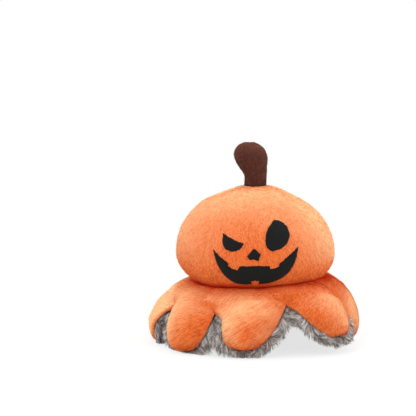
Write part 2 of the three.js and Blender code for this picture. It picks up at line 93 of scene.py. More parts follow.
# Where the floor begins and ends to fade into the background, in metres, and its share of white there
FLOOR_FADE = (0.1, 0.4, 0.75, 1.0)

# Head: its widest ring, its height over and under that, its neck and the hole for the stem
HEAD_RADIUS = 68.7
HEAD_CENTRE_Z = 76.96
HEAD_RISE = 58
HEAD_DROP = 36.5
HEAD_NECK_RADIUS = 41
STEM_HOLE_RADIUS = 9.1
PLUSH = 2.2
SEAM_DEPTH = 0.6
SEAM_WIDTH = 2.2
# A shallow dart over the nose
DART_X = 1.5
DART_WIDTH = 3
DART_DEPTH = 0.45
DART_ENDS = (92, 128)
DART_FADE = 12
# Hollows of the head where the stem's gathers pull at the side seams: place and depth
DENTS = [((-29, 0, 131), 4.2), ((31, 0, 131), 3.2)]
DENT_SIZE = (11, 30, 11)
# Gathers over the crease, in groups round the head
GATHERS = 17
GATHER_GROUPS = 5
GATHER_WANDER = 2.2
GATHER_HEIGHT = 0.55
GATHER_TOP = 66
GATHER_FADE = 12
# The low part of the head, drawn in more on the left, up to a start and span
LOW_DRAW = 0.8
LOW_TILT = 0.7
LOW_END = (95, 32)
# Start and span of the head's painted light, upwards and to the right: painted shade under the head and
# painted sheen over it, with what the right adds, and the height where its pile begins
HEAD_LIGHT_RISE = (56, 28)
RIGHT_SHEEN_RISE = (25, 30)
RIGHT_SHEEN_ADDED = 0.5
HEAD_PILE_START = 50
# Height that the outlines of the pumpkin face are measured from
FACE_Z = 56.2

# Felt: distance of its points, raggedness of its edge, and how it is pressed on and rounds off
FELT_STEP = 0.9
FELT_RAGGED = 0.16
FELT_LIFT = 0.25
FELT_SINK = 0.5
FELT_EDGE = 0.12
FELT_ROUND = 0.45
FELT_CLEARANCE = 0.8
PUMPKIN_FELT = 1.1
GREY_FELT = 2.2
# Shares of its points' distance that lie between rows, and clear along its edge
FELT_ROW = 0.87
FELT_MARGIN = 0.45
# Points on each curve of an outline and round a disc
CURVE_STEPS = 12
DISC_STEPS = 48
# Where the search for the head's skin starts, in front of the toy
FACE_SEARCH_Y = -200

# Pocket of fur inside the head
POCKET_RADIUS = 42
POCKET_CENTRE_Z = 65.96
POCKET_RISE = 28.1
POCKET_DROP = 37
POCKET_NECK_RADIUS = 33
POCKET_TOP_RADIUS = 0.8
POCKET_LINING = 1.2
FUR_SKIN = 1.6

# Stem: height of its turning point, and rings of (height over it, middle, half-width, half-depth)
STEM_PIVOT_Z = 134.96
STEM_RINGS = [
    (-8.6, 0.4, 2.2, 2.2),
    (-6.4, 0.5, 6.2, 6.2),
    (-3.2, 0.7, 8.3, 8.3),
    (0, 0.9, 8.8, 8.9),
    (4, 1.0, 8.9, 8.8),
    (8, 0.9, 9.4, 8.9),
    (12, 0.1, 10.6, 9.5),
    (16, -1.2, 11.9, 10.4),
    (20, -2.2, 13.3, 11.3),
    (24, -3.1, 14.0, 11.9),
    (27.5, -3.6, 13.5, 11.6),
    (30.5, -3.9, 12.0, 10.3),
    (33.2, -4.3, 9.3, 8.0),
    (35.2, -4.6, 5.4, 4.6),
    (35.9, -4.7, 0.0, 0.0),
]
STEM_PLUSH = 1.8
# Over the turning point: start and span of the stem's painted light, painted shade below and painted sheen
# above, and of its seams, and where its pile begins
STEM_LIGHT_RISE = (0, 20)
STEM_SEAM_START = (2, 6)
STEM_PILE_START = -2
STEM_SEAM_DEPTH = 0.55
STEM_SEAM_WIDTH = 1.1
# Start and span of the stem's unevenness at its root, and at its crown, downwards
SOFT_ROOT = (-4, 5)
SOFT_CROWN = (35.6, -2)
# A pucker at the knob's left corner: place over the turning point, depth and size
PUCKER = (-13.5, -4.5, 29.5)
PUCKER_DEPTH = 1.5
PUCKER_SIZE = 1.8

# Legs: padded tongues with a seam all round, bent over an axis under the skirt. A slope is an angle at that
# axis, from straight up.
LEGS = ["front", "front_right", "right", "back_right", "back", "back_left", "left", "front_left"]
SECTOR = 2 * math.pi / len(LEGS)
HINGE_RADIUS = 70
HINGE_Z = 49
# Where a leg begins and ends to move at its joint, along it from its hinge
BEND_RADIUS = 36.51
BEND_Z = 6.13
SEAM_DISTANCE = 43.6
ROOT_SLOPE = math.radians(38)
TIP_START = 0.42
LEG_STEPS = 14
LEG_PLUSH = 1.6
PLUSH_PUFF = 10.6
FUR_PUFF = 8.6
RING_HEIGHT = 9.4
NOTCH_HEIGHT = 3.2
NOTCH_OPENING = math.radians(5)
# How far the fur's edge lies under the plush's edge, at a notch and at the hem
NOTCH_STEP = 1.6
HEM_STEP = 1.0
LOBE_FLARE = 6
RIM_FALL = math.radians(32)
# Roundness: powers of the closing tip for plush, fur, width and hem, and of the plush from side to side
PLUSH_ROUND = 0.55
FUR_ROUND = 0.75
WIDTH_ROUND = 0.6
HEM_ROUND = 0.5
PUFF_ROUND = 0.7
# Shares of the ring's roundness that an open leg loses, and of the valleys' twist at a leg's root
OPEN_FLAT = 0.6
ROOT_TWIST = 0.6
LIFT_BEND = math.radians(14)
FUR_ROLL = 27
FUR_OVERHANG = math.radians(13)
# Over the floor: lowest plush, how softly it levels off, and lowest point of all
LOWEST = 0.8
FLOOR_ROUND = 0.4
FLOOR_CLEARANCE = 0.3
TUCK = 0.5
# Fur: its share near the neck, start and span of its growth to the full share, how far its swirls turn,
# and their size and seed
INNER_FUR = 0.4
FULL_FUR = (0.25, 0.3)
FUR_SWIRL = 1.2
FUR_SWIRLS = (6, 71)
# Its comb: start and span along a leg of the way in from the sides, and of the turn from one way along
# the leg to the other near the tip, with both ways, and how far it hangs
FROM_SIDES = (0.35, 0.2)
FROM_TIP = (0.8, 0.18)
ALONG_LEG = (0.8, -1.2)
FUR_HANG = 0.35
NAP_TURN = math.radians(52)
VALLEY_TWIST = math.radians(-12)
OVERLAP = math.radians(0.35)
FOLD_SHADE_START = 0.9
LEG_ROOT_ROW = 24
# Heights, with their rise to the front and to the right: the crease between head and skirt, and how far
# the skirt's skin stands over the even place of the legs' roots
CREASE = (55.2, -1.5, 3.0)
ROOT_RISE = (0.6, -1.2, 5.0)
# Rows of the plush from under the head to the leg: how far in from the crease, or out from it and under it
TUCKED_ROWS = [9, 4]
CREASE_ROW = (0, 0.1)
SKIRT_ROW = (6, 1.8)
SKIRT_TWIST = 0.85
# Rows of the fur between the pocket's neck and the legs: radius and height
NECK_ROWS = [(34, 41.8), (45, 37)]

# Each leg: sideways lean of its tip, slope where its seam ends, share of its full padding, lift, half-width
LEG_SHAPES = {
    "front": (-8, 88, 1.0, 0, 19.5),
    "front_right": (11, 83, 1.04, 15, 18.5),
    "right": (-2, 91, 0.98, 2, 20),
    "back_right": (3, 93, 1.02, 0, 20.5),
    "back": (-2, 94, 0.97, 0, 19.5),
    "back_left": (2, 93, 1.03, 0, 20.5),
    "left": (-4, 97, 0.97, 2, 18.5),
    "front_left": (-3.5, 95, 1.04, 0, 20.5),
}
# How far a leg's side seams stand over their even place, where they do
HEM_RISE = {"left": (0, 7)}
# How strongly sheen is painted on the nap: on the ring, at a leg's first and last side, and on the legs
# that differ
RING_SHEEN = 0.4
NAP_SHEEN = (1.3, 1.3)
LEG_SHEENS = {
    "front": (2.8, 2.5), "front_right": (1.3, 2.0), "right": (2.8, 2.6), "left": (2.2, 2.4),
    "front_left": (1.6, 0.4),
}
# Out from the crease: start and span of a leg's own painted sheen, and of the painted shade under the head,
# which reaches further on the right
LEG_SHEEN_START = (12, 16)
HEAD_SHADE_START = 1
HEAD_SHADE = 26
HEAD_SHADE_TILT = 12
# The border after each leg: turn off its even place, and slope where its notch begins, in degrees
LEG_BORDERS = [(0.5, 40), (2, 57), (-1, 46), (1.5, 43), (-1.5, 47), (1, 44), (-1, 46), (-5, 46)]

# Padding: distance of the cloth's points, the mass of one, the drag of the air, the frames it fills for,
# how far a point may move, and how often its moves are smoothed
FILL_STEP = 3.2
FILL_MASS = 0.0002
FILL_DRAG = 5
FILL_FRAMES = 20
FILL_CAP = 3
FILL_SMOOTHING = 4
# Pressure inside, how much smaller the cloth starts, and its stiffness along its plane and against bending
HEAD_FILL = (80, 0.8, 0.5, 0.1)
LEG_FILL = (40, 0.8, 0.05, 0.005)
STEM_FILL = (80, 0.4, 0.05, 0.005)
CROWN_ROWS = 3

# Wadding: its share of the room in a leg and in the ring, the rows it keeps off the tip and the edges,
# and how deep it lies in the head and the stem
LEG_WAD = 0.72
RING_WAD = 0.8
TIP_ROWS = 12
EDGE_ROWS = 3
HEAD_WAD_DEPTH = 2.6
STEM_WAD_DEPTH = 2.4

# Squeaker's bellows
BELLOWS_RADIUS = 15.5
BELLOWS_WALL = 0.8
PLEATS = 3
PLEAT_DEPTH = 1.4

# Facets of the soft skins: rows and columns
HEAD_FACETS = (120, 170)
POCKET_FACETS = (40, 60)
BELLOWS_FACETS = (37, 49)
LEG_ROWS = 66
LEG_COLUMNS = 44
STEM_ROWS = 60
STEM_COLUMNS = 40

# Lumps of the padding: height, size and seed
HEAD_LUMPS = [(0.9, 34, 3), (0.35, 13, 4)]
POCKET_LUMPS = (0.5, 16, 8)
STEM_LUMPS = (0.3, 9, 12)
LEG_LUMPS = (0.5, 13, 30)
WAD_LUMPS = (0.5, 7, 55)
# The same as a share of a wad's width
LOOP_LUMPS = (0.04, 6, 55)
# Seeds of the pile and the felt
HEAD_SEED = 41
POCKET_SEED = 61
STEM_SEED = 81
LEG_SEED = 100
LEG_FUR_SEED = 200
GREY_FELT_SEED = 20

# How far the light on a strand follows the skin under it, and the width of the partings on that skin
SKIN_SHADING = 0.85
PARTING = 0.12
# Kinds of pile: strands in a square metre, their length, width and steps, how flat they are combed, how far
# they are drawn into tufts or stray, the tufts in a metre, size of the brushed streaks, width of the dark
# partings between them, how far these run in even ribs, the shortest strand's share of the full length,
# and whether they cast shade
SHORT_PILE = {
    "Density": 4e6, "Steps": 1, "Comb": 2.2, "Stray": 0.5, "Ribs": 0, "Shortest": 0.65, "shades": False,
}
LONG_FUR = {"Ribs": 0, "Shortest": 0.8, "shades": True}
HEAD_PILE = {
    **SHORT_PILE, "Length": 0.95, "Width": 0.36, "Tuft": 1.6, "Tuft Scale": 260, "streak": (1.4, 1.9),
    "Parting": 0.07,
}
LEG_PILE = {
    **SHORT_PILE, "Density": 3.6e6, "Length": 1.25, "Width": 0.38, "Tuft": 0.6, "Tuft Scale": 240,
    "streak": (2.1, 7), "Parting": 0.2, "Ribs": 0.75,
}
STEM_PILE = {
    **SHORT_PILE, "Length": 1.0, "Width": 0.26, "Tuft": 0.8, "Tuft Scale": 300, "streak": (1.6, 3),
    "Parting": 0.1,
}
LEG_FUR = {
    **LONG_FUR, "Density": 3.8e6, "Length": 2.9, "Width": 0.55, "Steps": 4, "Comb": 2.5, "Tuft": 1.3,
    "Stray": 0.3, "Tuft Scale": 200, "streak": (3.6, 3.6), "Parting": 0.2,
}
POCKET_FUR = {
    **LONG_FUR, "Density": 1.3e6, "Length": 5.5, "Width": 0.6, "Steps": 3, "Comb": 0.9, "Tuft": 0.9,
    "Stray": 0.4, "Tuft Scale": 110, "streak": (4, 4), "Parting": 0.22,
}
PILE_SIZES = [
    "Density", "Length", "Width", "Comb", "Tuft", "Tuft Scale", "Stray", "Shortest", "Parting", "Ribs",
    "Floor",
]
# Strands: the longest one's share of the full length, how far they narrow to the tip and how late, how far
# they lean as a whole and bend over, how far they are turned, and the shares of partings and chance in tone
LONGEST = 1.1
NARROWING = 0.85
NARROW_POWER = 1.5
LEAN = 0.5
BEND_OVER = 0.6
SPIN = 0.7
BRUSHED_TONE = 0.8
CHANCE_TONE = 0.2
# Ribs: how far they wander, and their depth
RIB_WANDER = 7.0
RIB_DEPTH = 0.25

# Nap of the plush: scales of its patches, tufts and grain, their shares in its tone, those of tufts and
# grain in its height, tones from dark to light, shares of streaks and patches in its colour, and relief
NAP_SCALES = (55.0, 380.0, 1100.0)
NAP_TONE = (0.4, 0.35, 0.25)
NAP_HEIGHT = (0.6, 0.4)
NAP_CONTRAST = (0.36, 0.64)
STREAK_SHARE = 0.7
PATCH_SHARE = 0.3
NAP_RELIEF = (0.5, 0.0006)
# Along a strand and in its tone: where its colour goes from root to middle, and from middle to tip
TO_MIDDLE = ((-0.3, 0.5), (0.0, 0.5))
TO_TIP = ((0.2, 0.9), (0.3, 1.0))
# Painted sheen: where it grows from the underside up, and its share from dark to light tones; and the share
# of painted light over which the deep colour of the painted shade gives way to the pile's own colour
SHEEN_RISE = (-0.6, 0.25)
SHEEN_TONES = (0.0, 0.8, 0.5, 1.0)
PAINTED_SHADE_FADE = (0.0, 0.03)
# Plastic: scale and detail of its mottle, scale of its grain, how far that wears it, and its relief
MOTTLE = (90.0, 3.0)
PLASTIC_GRAIN = 1500.0
WORN = (-0.06, 0.08)
PLASTIC_RELIEF = (0.15, 0.0002)


# Numbers, sheets and meshes


def srgb(red, green, blue):
    """A colour as the shader reads it, from the numbers 0 to 255 of a screen."""
    def linear(value):
        share = value / 255
        return share / 12.92 if share <= 0.04045 else ((share + 0.055) / 1.055) ** 2.4
    return (linear(red), linear(green), linear(blue), 1)


def smooth_step(value):
    share = np.clip(value, 0, 1)
    return share * share * (3 - 2 * share)


def fade(value, start, span):
    """From 0 at the start to 1 a span further on."""
    return smooth_step((value - start) / span)


def bell(value, width):
    return np.exp(-((value / width) ** 2))


def between(first, second, share):
    return first + (second - first) * share


def unit(arrows):
    return arrows / np.maximum(np.linalg.norm(arrows, axis=-1, keepdims=True), 1e-9)


def lumps(points, size, seed, waves=14):
    """A smooth uneven field of about -1 to 1 over points, with lumps of about that size."""
    random = np.random.default_rng(seed)
    wave = random.normal(size=(waves, 3)) * (2.2 / size)
    phase = random.uniform(0, 2 * math.pi, waves)
    return np.sin(points @ wave.T + phase).sum(-1) * math.sqrt(2 / waves) * 0.6


def uneven(points, *kinds):
    """Lumps of one or more kinds, each with its height, size and seed."""
    return sum(height * lumps(points, size, seed) for height, size, seed in kinds)


def along_spline(control, count):
    """Rows on smooth curves through control rows of points and their values, spaced evenly in length."""
    steps = np.linalg.norm(np.diff(control[..., :3], axis=0), axis=-1).mean(-1)
    place = np.concatenate([[0], np.cumsum(steps)])
    slope = np.gradient(control, place, axis=0)
    at = place[-1] * np.linspace(0, 1, count)
    low = np.clip(np.searchsorted(place, at, side="right") - 1, 0, len(place) - 2)
    span = (place[low + 1] - place[low])[:, None, None]
    t = (at - place[low])[:, None, None] / span
    a, b = control[low], control[low + 1]
    da, db = slope[low] * span, slope[low + 1] * span
    return (
        (2 * t**3 - 3 * t**2 + 1) * a
        + (t**3 - 2 * t**2 + t) * da
        + (3 * t**2 - 2 * t**3) * b
        + (t**3 - t**2) * db
    )


def sheet_normals(sheet):
    """Unit normals of a sheet of points in rows and columns."""
    return unit(np.cross(np.gradient(sheet, axis=1), np.gradient(sheet, axis=0)))


def sheet_faces(rows, columns):
    """Quads between the points of a sheet."""
    corners = [r * columns + c for r in range(rows - 1) for c in range(columns - 1)]
    return [(a, a + 1, a + columns + 1, a + columns) for a in corners]


def closed_faces(faces, count):
    """Faces of an outer side of count points, of an inner side that follows it, and of walls at the rim."""
    edges = {(a, b) for face in faces for a, b in zip(face, face[1:] + face[:1])}
    walls = [(b, a, a + count, b + count) for a, b in sorted(edges) if (b, a) not in edges]
    return faces + [tuple(i + count for i in face[::-1]) for face in faces] + walls


def show(name, data):
    """An object of a mesh, lamp or camera, in the scene."""
    piece = bpy.data.objects.new(name, data)
    bpy.context.scene.collection.objects.link(piece)
    return piece


def smooth(mesh):
    mesh.polygons.foreach_set("use_smooth", [True] * len(mesh.polygons))


def new_object(name, points, faces, material):
    """A smooth mesh object from points in millimetres."""
    mesh = bpy.data.meshes.new(name)
    mesh.from_pydata((np.asarray(points) * MM).tolist(), [], faces)
    smooth(mesh)
    mesh.materials.append(material)
    return show(name, mesh)


def remove_object(piece):
    mesh = piece.data
    bpy.data.objects.remove(piece)
    bpy.data.meshes.remove(mesh)


def tidy_mesh(piece):
    """Merges points that meet, drops faces without area and turns all faces outward."""
    edit = bmesh.new()
    edit.from_mesh(piece.data)
    bmesh.ops.remove_doubles(edit, verts=edit.verts, dist=MERGED)
    bmesh.ops.dissolve_degenerate(edit, edges=edit.edges, dist=NO_LENGTH)
    bmesh.ops.recalc_face_normals(edit, faces=edit.faces)
    edit.to_mesh(piece.data)
    edit.free()
    smooth(piece.data)
    return piece


def store_values(mesh, name, values):
    """Keeps a number or a vector for each point of a mesh."""
    vector = values.ndim > 1
    kept = mesh.attributes.new(name, "FLOAT_VECTOR" if vector else "FLOAT", "POINT")
    kept.data.foreach_set("vector" if vector else "value", values.reshape(-1).astype(np.float32))


def cloth_shell(name, sheet, thickness, material, kept=None):
    """A closed cloth whose outer side is the sheet, with values kept for its points."""
    rows, columns = sheet.shape[:2]
    inner = sheet - sheet_normals(sheet) * thickness
    inner[..., 2] = np.maximum(inner[..., 2], FLOOR_CLEARANCE)
    count = rows * columns
    faces = closed_faces(sheet_faces(rows, columns), count)
    points = np.concatenate([sheet.reshape(-1, 3), inner.reshape(-1, 3)])
    cloth = new_object(name, points, faces, material)
    for key, values in (kept or {}).items():
        store_values(cloth.data, key, np.concatenate([values.reshape(count, -1).squeeze()] * 2))
    return tidy_mesh(cloth)


def dress(piece, nodes, body=None):
    """Hides the solids a piece stands for and, if one carries it, puts it on its body."""
    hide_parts(*nodes)
    if body:
        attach(piece, body)


# Nodes of shaders and of pile


def find_socket(sockets, key):
    """The socket at that place, or with that name or identifier."""
    if isinstance(key, int) or key in sockets:
        return sockets[key]
    return next(s for s in sockets if s.identifier == key)


class Nodes:
    """Adds nodes to a tree, each input linked to another node or filled with a value."""

    def __init__(self, tree):
        self.tree = tree

    def fill(self, socket, value):
        if isinstance(value, bpy.types.NodeSocket):
            self.tree.links.new(value, socket)
        else:
            socket.default_value = value

    def add(self, kind, inputs=None, **settings):
        made = self.tree.nodes.new(kind)
        for key, value in settings.items():
            setattr(made, key, value)
        for key, value in (inputs or {}).items():
            self.fill(find_socket(made.inputs, key), value)
        return made

    def maths(self, operation, *values, clamp=False):
        inputs = dict(enumerate(values))
        return self.add("ShaderNodeMath", inputs, operation=operation, use_clamp=clamp).outputs[0]

    def plus(self, first, second):
        return self.maths("ADD", first, second)

    def minus(self, first, second):
        return self.maths("SUBTRACT", first, second)

    def times(self, first, second):
        return self.maths("MULTIPLY", first, second)

    def vectors(self, operation, *values):
        return self.add("ShaderNodeVectorMath", dict(enumerate(values)), operation=operation).outputs[0]

    def scaled(self, vector, scale):
        return self.add("ShaderNodeVectorMath", {0: vector, "Scale": scale}, operation="SCALE").outputs[0]

    def split(self, vector):
        return self.add("ShaderNodeSeparateXYZ", {"Vector": vector}).outputs

    def map_range(self, value, low, high, to_low=0.0, to_high=1.0):
        inputs = {"Value": value, "From Min": low, "From Max": high, "To Min": to_low, "To Max": to_high}
        return self.add("ShaderNodeMapRange", inputs).outputs["Result"]

    def noise(self, vector, scale, detail=2.0, roughness=0.5, result="Fac"):
        inputs = {"Vector": vector, "Scale": scale, "Detail": detail, "Roughness": roughness}
        return self.add("ShaderNodeTexNoise", inputs).outputs[result]

    def mix(self, kind, share, first, second):
        """A blend of two colours or vectors."""
        inputs = {"Factor_Float": share, f"A_{kind}": first, f"B_{kind}": second}
        data_type = {"Color": "RGBA", "Vector": "VECTOR"}[kind]
        return find_socket(self.add("ShaderNodeMix", inputs, data_type=data_type).outputs, f"Result_{kind}")

    def paint(self, shader, share, first, second):
        """Colours a shader with a blend of two colours."""
        self.fill(shader.inputs["Base Color"], self.mix("Color", share, first, second))

    def place(self):
        return self.add("ShaderNodeTexCoord").outputs["Object"]

    def kept(self, name, result="Fac"):
        """A value that a mesh keeps for its points, in a shader."""
        return self.add("ShaderNodeAttribute", attribute_name=name).outputs[result]

    def bump(self, shader, height, strength, distance):
        inputs = {"Height": height, "Strength": strength, "Distance": distance}
        self.fill(shader.inputs["Normal"], self.add("ShaderNodeBump", inputs).outputs["Normal"])

    def seen(self):
        """1 where the camera sees a surface, straight or through gloss or glass."""
        path = self.add("ShaderNodeLightPath").outputs
        straight = self.maths("MAXIMUM", path["Is Camera Ray"], path["Is Glossy Ray"])
        return self.maths("MAXIMUM", straight, path["Is Transmission Ray"])

    def named(self, name, kind="FLOAT"):
        """A value that a mesh keeps for its points, in geometry."""
        made = self.add("GeometryNodeInputNamedAttribute", {"Name": name}, data_type=kind)
        return made.outputs["Attribute"]

    def store(self, geometry, name, value, kind="FLOAT"):
        inputs = {"Geometry": geometry, "Name": name, "Value": value}
        made = self.add("GeometryNodeStoreNamedAttribute", inputs, data_type=kind, domain="POINT")
        return made.outputs["Geometry"]

    def moved(self, geometry, how, vector):
        """Geometry moved to a Position, or by an Offset."""
        return self.add("GeometryNodeSetPosition", {"Geometry": geometry, how: vector}).outputs[0]

    def random(self, low, high, seed):
        inputs = {"Min_001": low, "Max_001": high, "Seed": seed}
        made = self.add("FunctionNodeRandomValue", inputs, data_type="FLOAT")
        return find_socket(made.outputs, "Value_001")


# Materials


def make_nap_group():
    """Brushed pile: broad patches that lie one way or the other, tufts and fine grain, with its height."""
    tree = bpy.data.node_groups.new("brushed_nap", "ShaderNodeTree")
    tree.interface.new_socket("Vector", in_out="INPUT", socket_type="NodeSocketVector")
    for name in ("Tone", "Height"):
        tree.interface.new_socket(name, in_out="OUTPUT", socket_type="NodeSocketFloat")
    nodes = Nodes(tree)
    vector = nodes.add("NodeGroupInput").outputs["Vector"]
    patches = nodes.noise(vector, NAP_SCALES[0])
    tufts = nodes.noise(vector, NAP_SCALES[1])
    grain = nodes.noise(vector, NAP_SCALES[2], 1.0)
    tone = nodes.plus(nodes.times(patches, NAP_TONE[0]), nodes.times(tufts, NAP_TONE[1]))
    tone = nodes.plus(tone, nodes.times(grain, NAP_TONE[2]))
    height = nodes.plus(nodes.times(tufts, NAP_HEIGHT[0]), nodes.times(grain, NAP_HEIGHT[1]))
    nodes.add("NodeGroupOutput", {"Tone": tone, "Height": height})
    return tree


nap_group = make_nap_group()


def new_material(name, roughness, specular=0.2, sheen=0.0, sheen_roughness=0.5):
    """A material, its nodes and its shader."""
    material = bpy.data.materials.new(name)
    material.use_nodes = True
    shader = material.node_tree.nodes["Principled BSDF"]
    for key, value in (
        ("Roughness", roughness),
        ("Specular IOR Level", specular),
        ("Sheen Weight", sheen),
        ("Sheen Roughness", sheen_roughness),
    ):
        shader.inputs[key].default_value = value
    return material, Nodes(material.node_tree), shader


def make_plush(name, dark, light, sheen):
    """The short brushed plush that the pile stands on."""
    material, nodes, shader = new_material(name, 0.95)
    nap = nodes.add("ShaderNodeGroup", {"Vector": nodes.place()}, node_tree=nap_group).outputs
    streak = nodes.noise(nodes.kept("streak", "Vector"), 1.0, 1.0)
    brushed = nodes.map_range(nodes.maths("ABSOLUTE", nodes.minus(streak, 0.5)), 0.0, PARTING)
    patches = nodes.map_range(nap["Tone"], *NAP_CONTRAST)
    share = nodes.plus(nodes.times(brushed, STREAK_SHARE), nodes.times(patches, PATCH_SHARE))
    colour = nodes.mix("Color", share, dark, light)
    nodes.bump(shader, nap["Height"], *NAP_RELIEF)
    normal = nodes.add("ShaderNodeNewGeometry").outputs["Normal"]
    # Painted sheen and painted shade over the nap's own colour
    paint_sheen_and_shade(nodes, shader, colour, share, normal, sheen)
    return material


def blend_normals(nodes, share, first, second):
    """A unit normal between two, that far towards the second where it is on the first one's side."""
    side = nodes.add("ShaderNodeVectorMath", {0: first, 1: second}, operation="DOT_PRODUCT")
    factor = nodes.map_range(side.outputs["Value"], 0.0, 0.3, 0.0, share)
    return nodes.vectors("NORMALIZE", nodes.mix("Vector", factor, first, second))


def paint_sheen_and_shade(nodes, shader, colour, tone, normal, sheen):
    """Painted sheen: a pale colour painted where the skin is seen from the side or faces up; painted shade:
    a deep colour painted where the pile lies sheltered.
    """
    height = nodes.split(normal)["Z"]
    weight = nodes.add("ShaderNodeLayerWeight", {"Blend": 0.5, "Normal": normal})
    # Painted sheen from the side, fading towards the underside
    side = nodes.times(weight.outputs["Facing"], nodes.map_range(height, *SHEEN_RISE))
    side = nodes.times(side, sheen["painted_side_sheen"])
    # Painted light on faces turned up
    above = nodes.maths("POWER", nodes.maths("MAXIMUM", height, 0.0), 2.0)
    above = nodes.times(above, sheen["painted_top_light"])
    painted_light = nodes.kept("open")
    share = nodes.maths("MULTIPLY", nodes.plus(side, above), painted_light, clamp=True)
    share = nodes.times(share, nodes.map_range(tone, *SHEEN_TONES))
    # Painted shade: the deep colour where the share of painted light is low
    base = nodes.mix("Color", nodes.map_range(painted_light, *PAINTED_SHADE_FADE), sheen["deep"], colour)
    nodes.paint(shader, share, base, sheen["pale"])


def make_strands(name, root, middle, tip, sheen):
    """Strands of pile, from root to tip colour, each a little lighter or darker, lit as their skin is."""
    material, nodes, shader = new_material(name, 0.9)
    along, tone = nodes.kept("along"), nodes.kept("tone")
    rise = nodes.times(nodes.map_range(along, *TO_MIDDLE[0]), nodes.map_range(tone, *TO_MIDDLE[1]))
    lower = nodes.mix("Color", rise, root, middle)
    share = nodes.times(nodes.map_range(along, *TO_TIP[0]), nodes.map_range(tone, *TO_TIP[1]))
    colour = nodes.mix("Color", share, lower, tip)
    skin = nodes.add(
        "ShaderNodeVectorTransform", {"Vector": nodes.kept("root_normal", "Vector")},
        vector_type="NORMAL", convert_from="OBJECT", convert_to="WORLD",
    ).outputs[0]
    own = nodes.add("ShaderNodeNewGeometry").outputs["Normal"]
    nodes.fill(shader.inputs["Normal"], blend_normals(nodes, SKIN_SHADING, own, skin))
    # Painted sheen and painted shade over the strand's own colour
    paint_sheen_and_shade(nodes, shader, colour, tone, skin, sheen)
    return material


def make_matt(name, dark, pale, grain, contrast, bump, sheen=(0.0, 0.5)):
    """Fibres without pile: a grain of (scale, detail, roughness) that shows in colour and in relief."""
    material, nodes, shader = new_material(name, 1.0, sheen=sheen[0], sheen_roughness=sheen[1])
    fibres = nodes.noise(nodes.place(), *grain)
    share = nodes.map_range(fibres, *contrast) if contrast else fibres
    nodes.paint(shader, share, dark, pale)
    nodes.bump(shader, fibres, *bump)
    return material


def make_felt(name, dark, pale):
    return make_matt(
        name, dark, pale, grain=(1400.0, 3.0, 0.7), contrast=(0.35, 0.7), bump=(0.5, 0.0003),
        sheen=(0.03, 0.6),
    )


def make_plastic(name, dark, pale, roughness):
    material, nodes, shader = new_material(name, roughness, 0.5)
    nodes.paint(shader, nodes.noise(nodes.place(), *MOTTLE), dark, pale)
    fine = nodes.noise(nodes.place(), PLASTIC_GRAIN)
    worn = nodes.map_range(fine, 0.3, 0.7, roughness + WORN[0], roughness + WORN[1])
    nodes.fill(shader.inputs["Roughness"], worn)
    nodes.bump(shader, fine, *PLASTIC_RELIEF)
    return material


# Painted sheen and painted shade of each pile: the pale colour painted as sheen, the deep colour painted as
# shade where the pile lies sheltered, and how strongly the sheen is painted from the side and on faces
# turned up
ORANGE_SHEEN_AND_SHADE = {"pale": srgb(246, 201, 148), "deep": srgb(236, 90, 40), "painted_side_sheen": 0.9, "painted_top_light": 0.5}
BROWN_SHEEN_AND_SHADE = {"pale": srgb(137, 82, 58), "deep": srgb(74, 36, 30), "painted_side_sheen": 0.3, "painted_top_light": 0.4}
FROST = srgb(242, 239, 236)
GREY_SHEEN_AND_SHADE = {"pale": FROST, "deep": srgb(92, 80, 74), "painted_side_sheen": 0.0, "painted_top_light": 0.0}
orange_plush = make_plush("orange_plush", srgb(200, 62, 16), srgb(234, 118, 52), ORANGE_SHEEN_AND_SHADE)
orange_pile = make_strands(
    "orange_pile", srgb(196, 57, 13), srgb(234, 115, 46), srgb(240, 153, 83), ORANGE_SHEEN_AND_SHADE
)
brown_plush = make_plush("brown_plush", srgb(66, 33, 28), srgb(98, 54, 42), BROWN_SHEEN_AND_SHADE)
brown_pile = make_strands("brown_pile", srgb(60, 30, 26), srgb(86, 46, 37), srgb(118, 68, 52), BROWN_SHEEN_AND_SHADE)
fur_skin = make_matt(
    "fur_backing", srgb(74, 62, 57), srgb(128, 117, 110),
    grain=(260.0, 3.0), contrast=None, bump=(0.6, 0.001),
)
fur_strands = make_strands("fur_strands", srgb(66, 54, 49), srgb(166, 156, 150), FROST, GREY_SHEEN_AND_SHADE)
felts = {
    "black_felt": make_felt("black_felt", srgb(10, 11, 10), srgb(24, 25, 24)),
    "pink_felt": make_felt("pink_felt", srgb(206, 128, 112), srgb(232, 164, 146)),
}
wadding = make_matt(
    "fibre_wadding", srgb(214, 210, 202), srgb(244, 242, 237),
    grain=(420.0, 5.0, 0.7), contrast=(0.3, 0.7), bump=(0.8, 0.0015), sheen=(0.3, 0.5),
)
shell_plastic = make_plastic("squeaker_shell", srgb(206, 210, 212), srgb(226, 229, 230), 0.45)
reed_plastic = make_plastic("squeaker_reed", srgb(238, 238, 232), srgb(247, 247, 243), 0.35)


# Pile: strands that stand on a skin


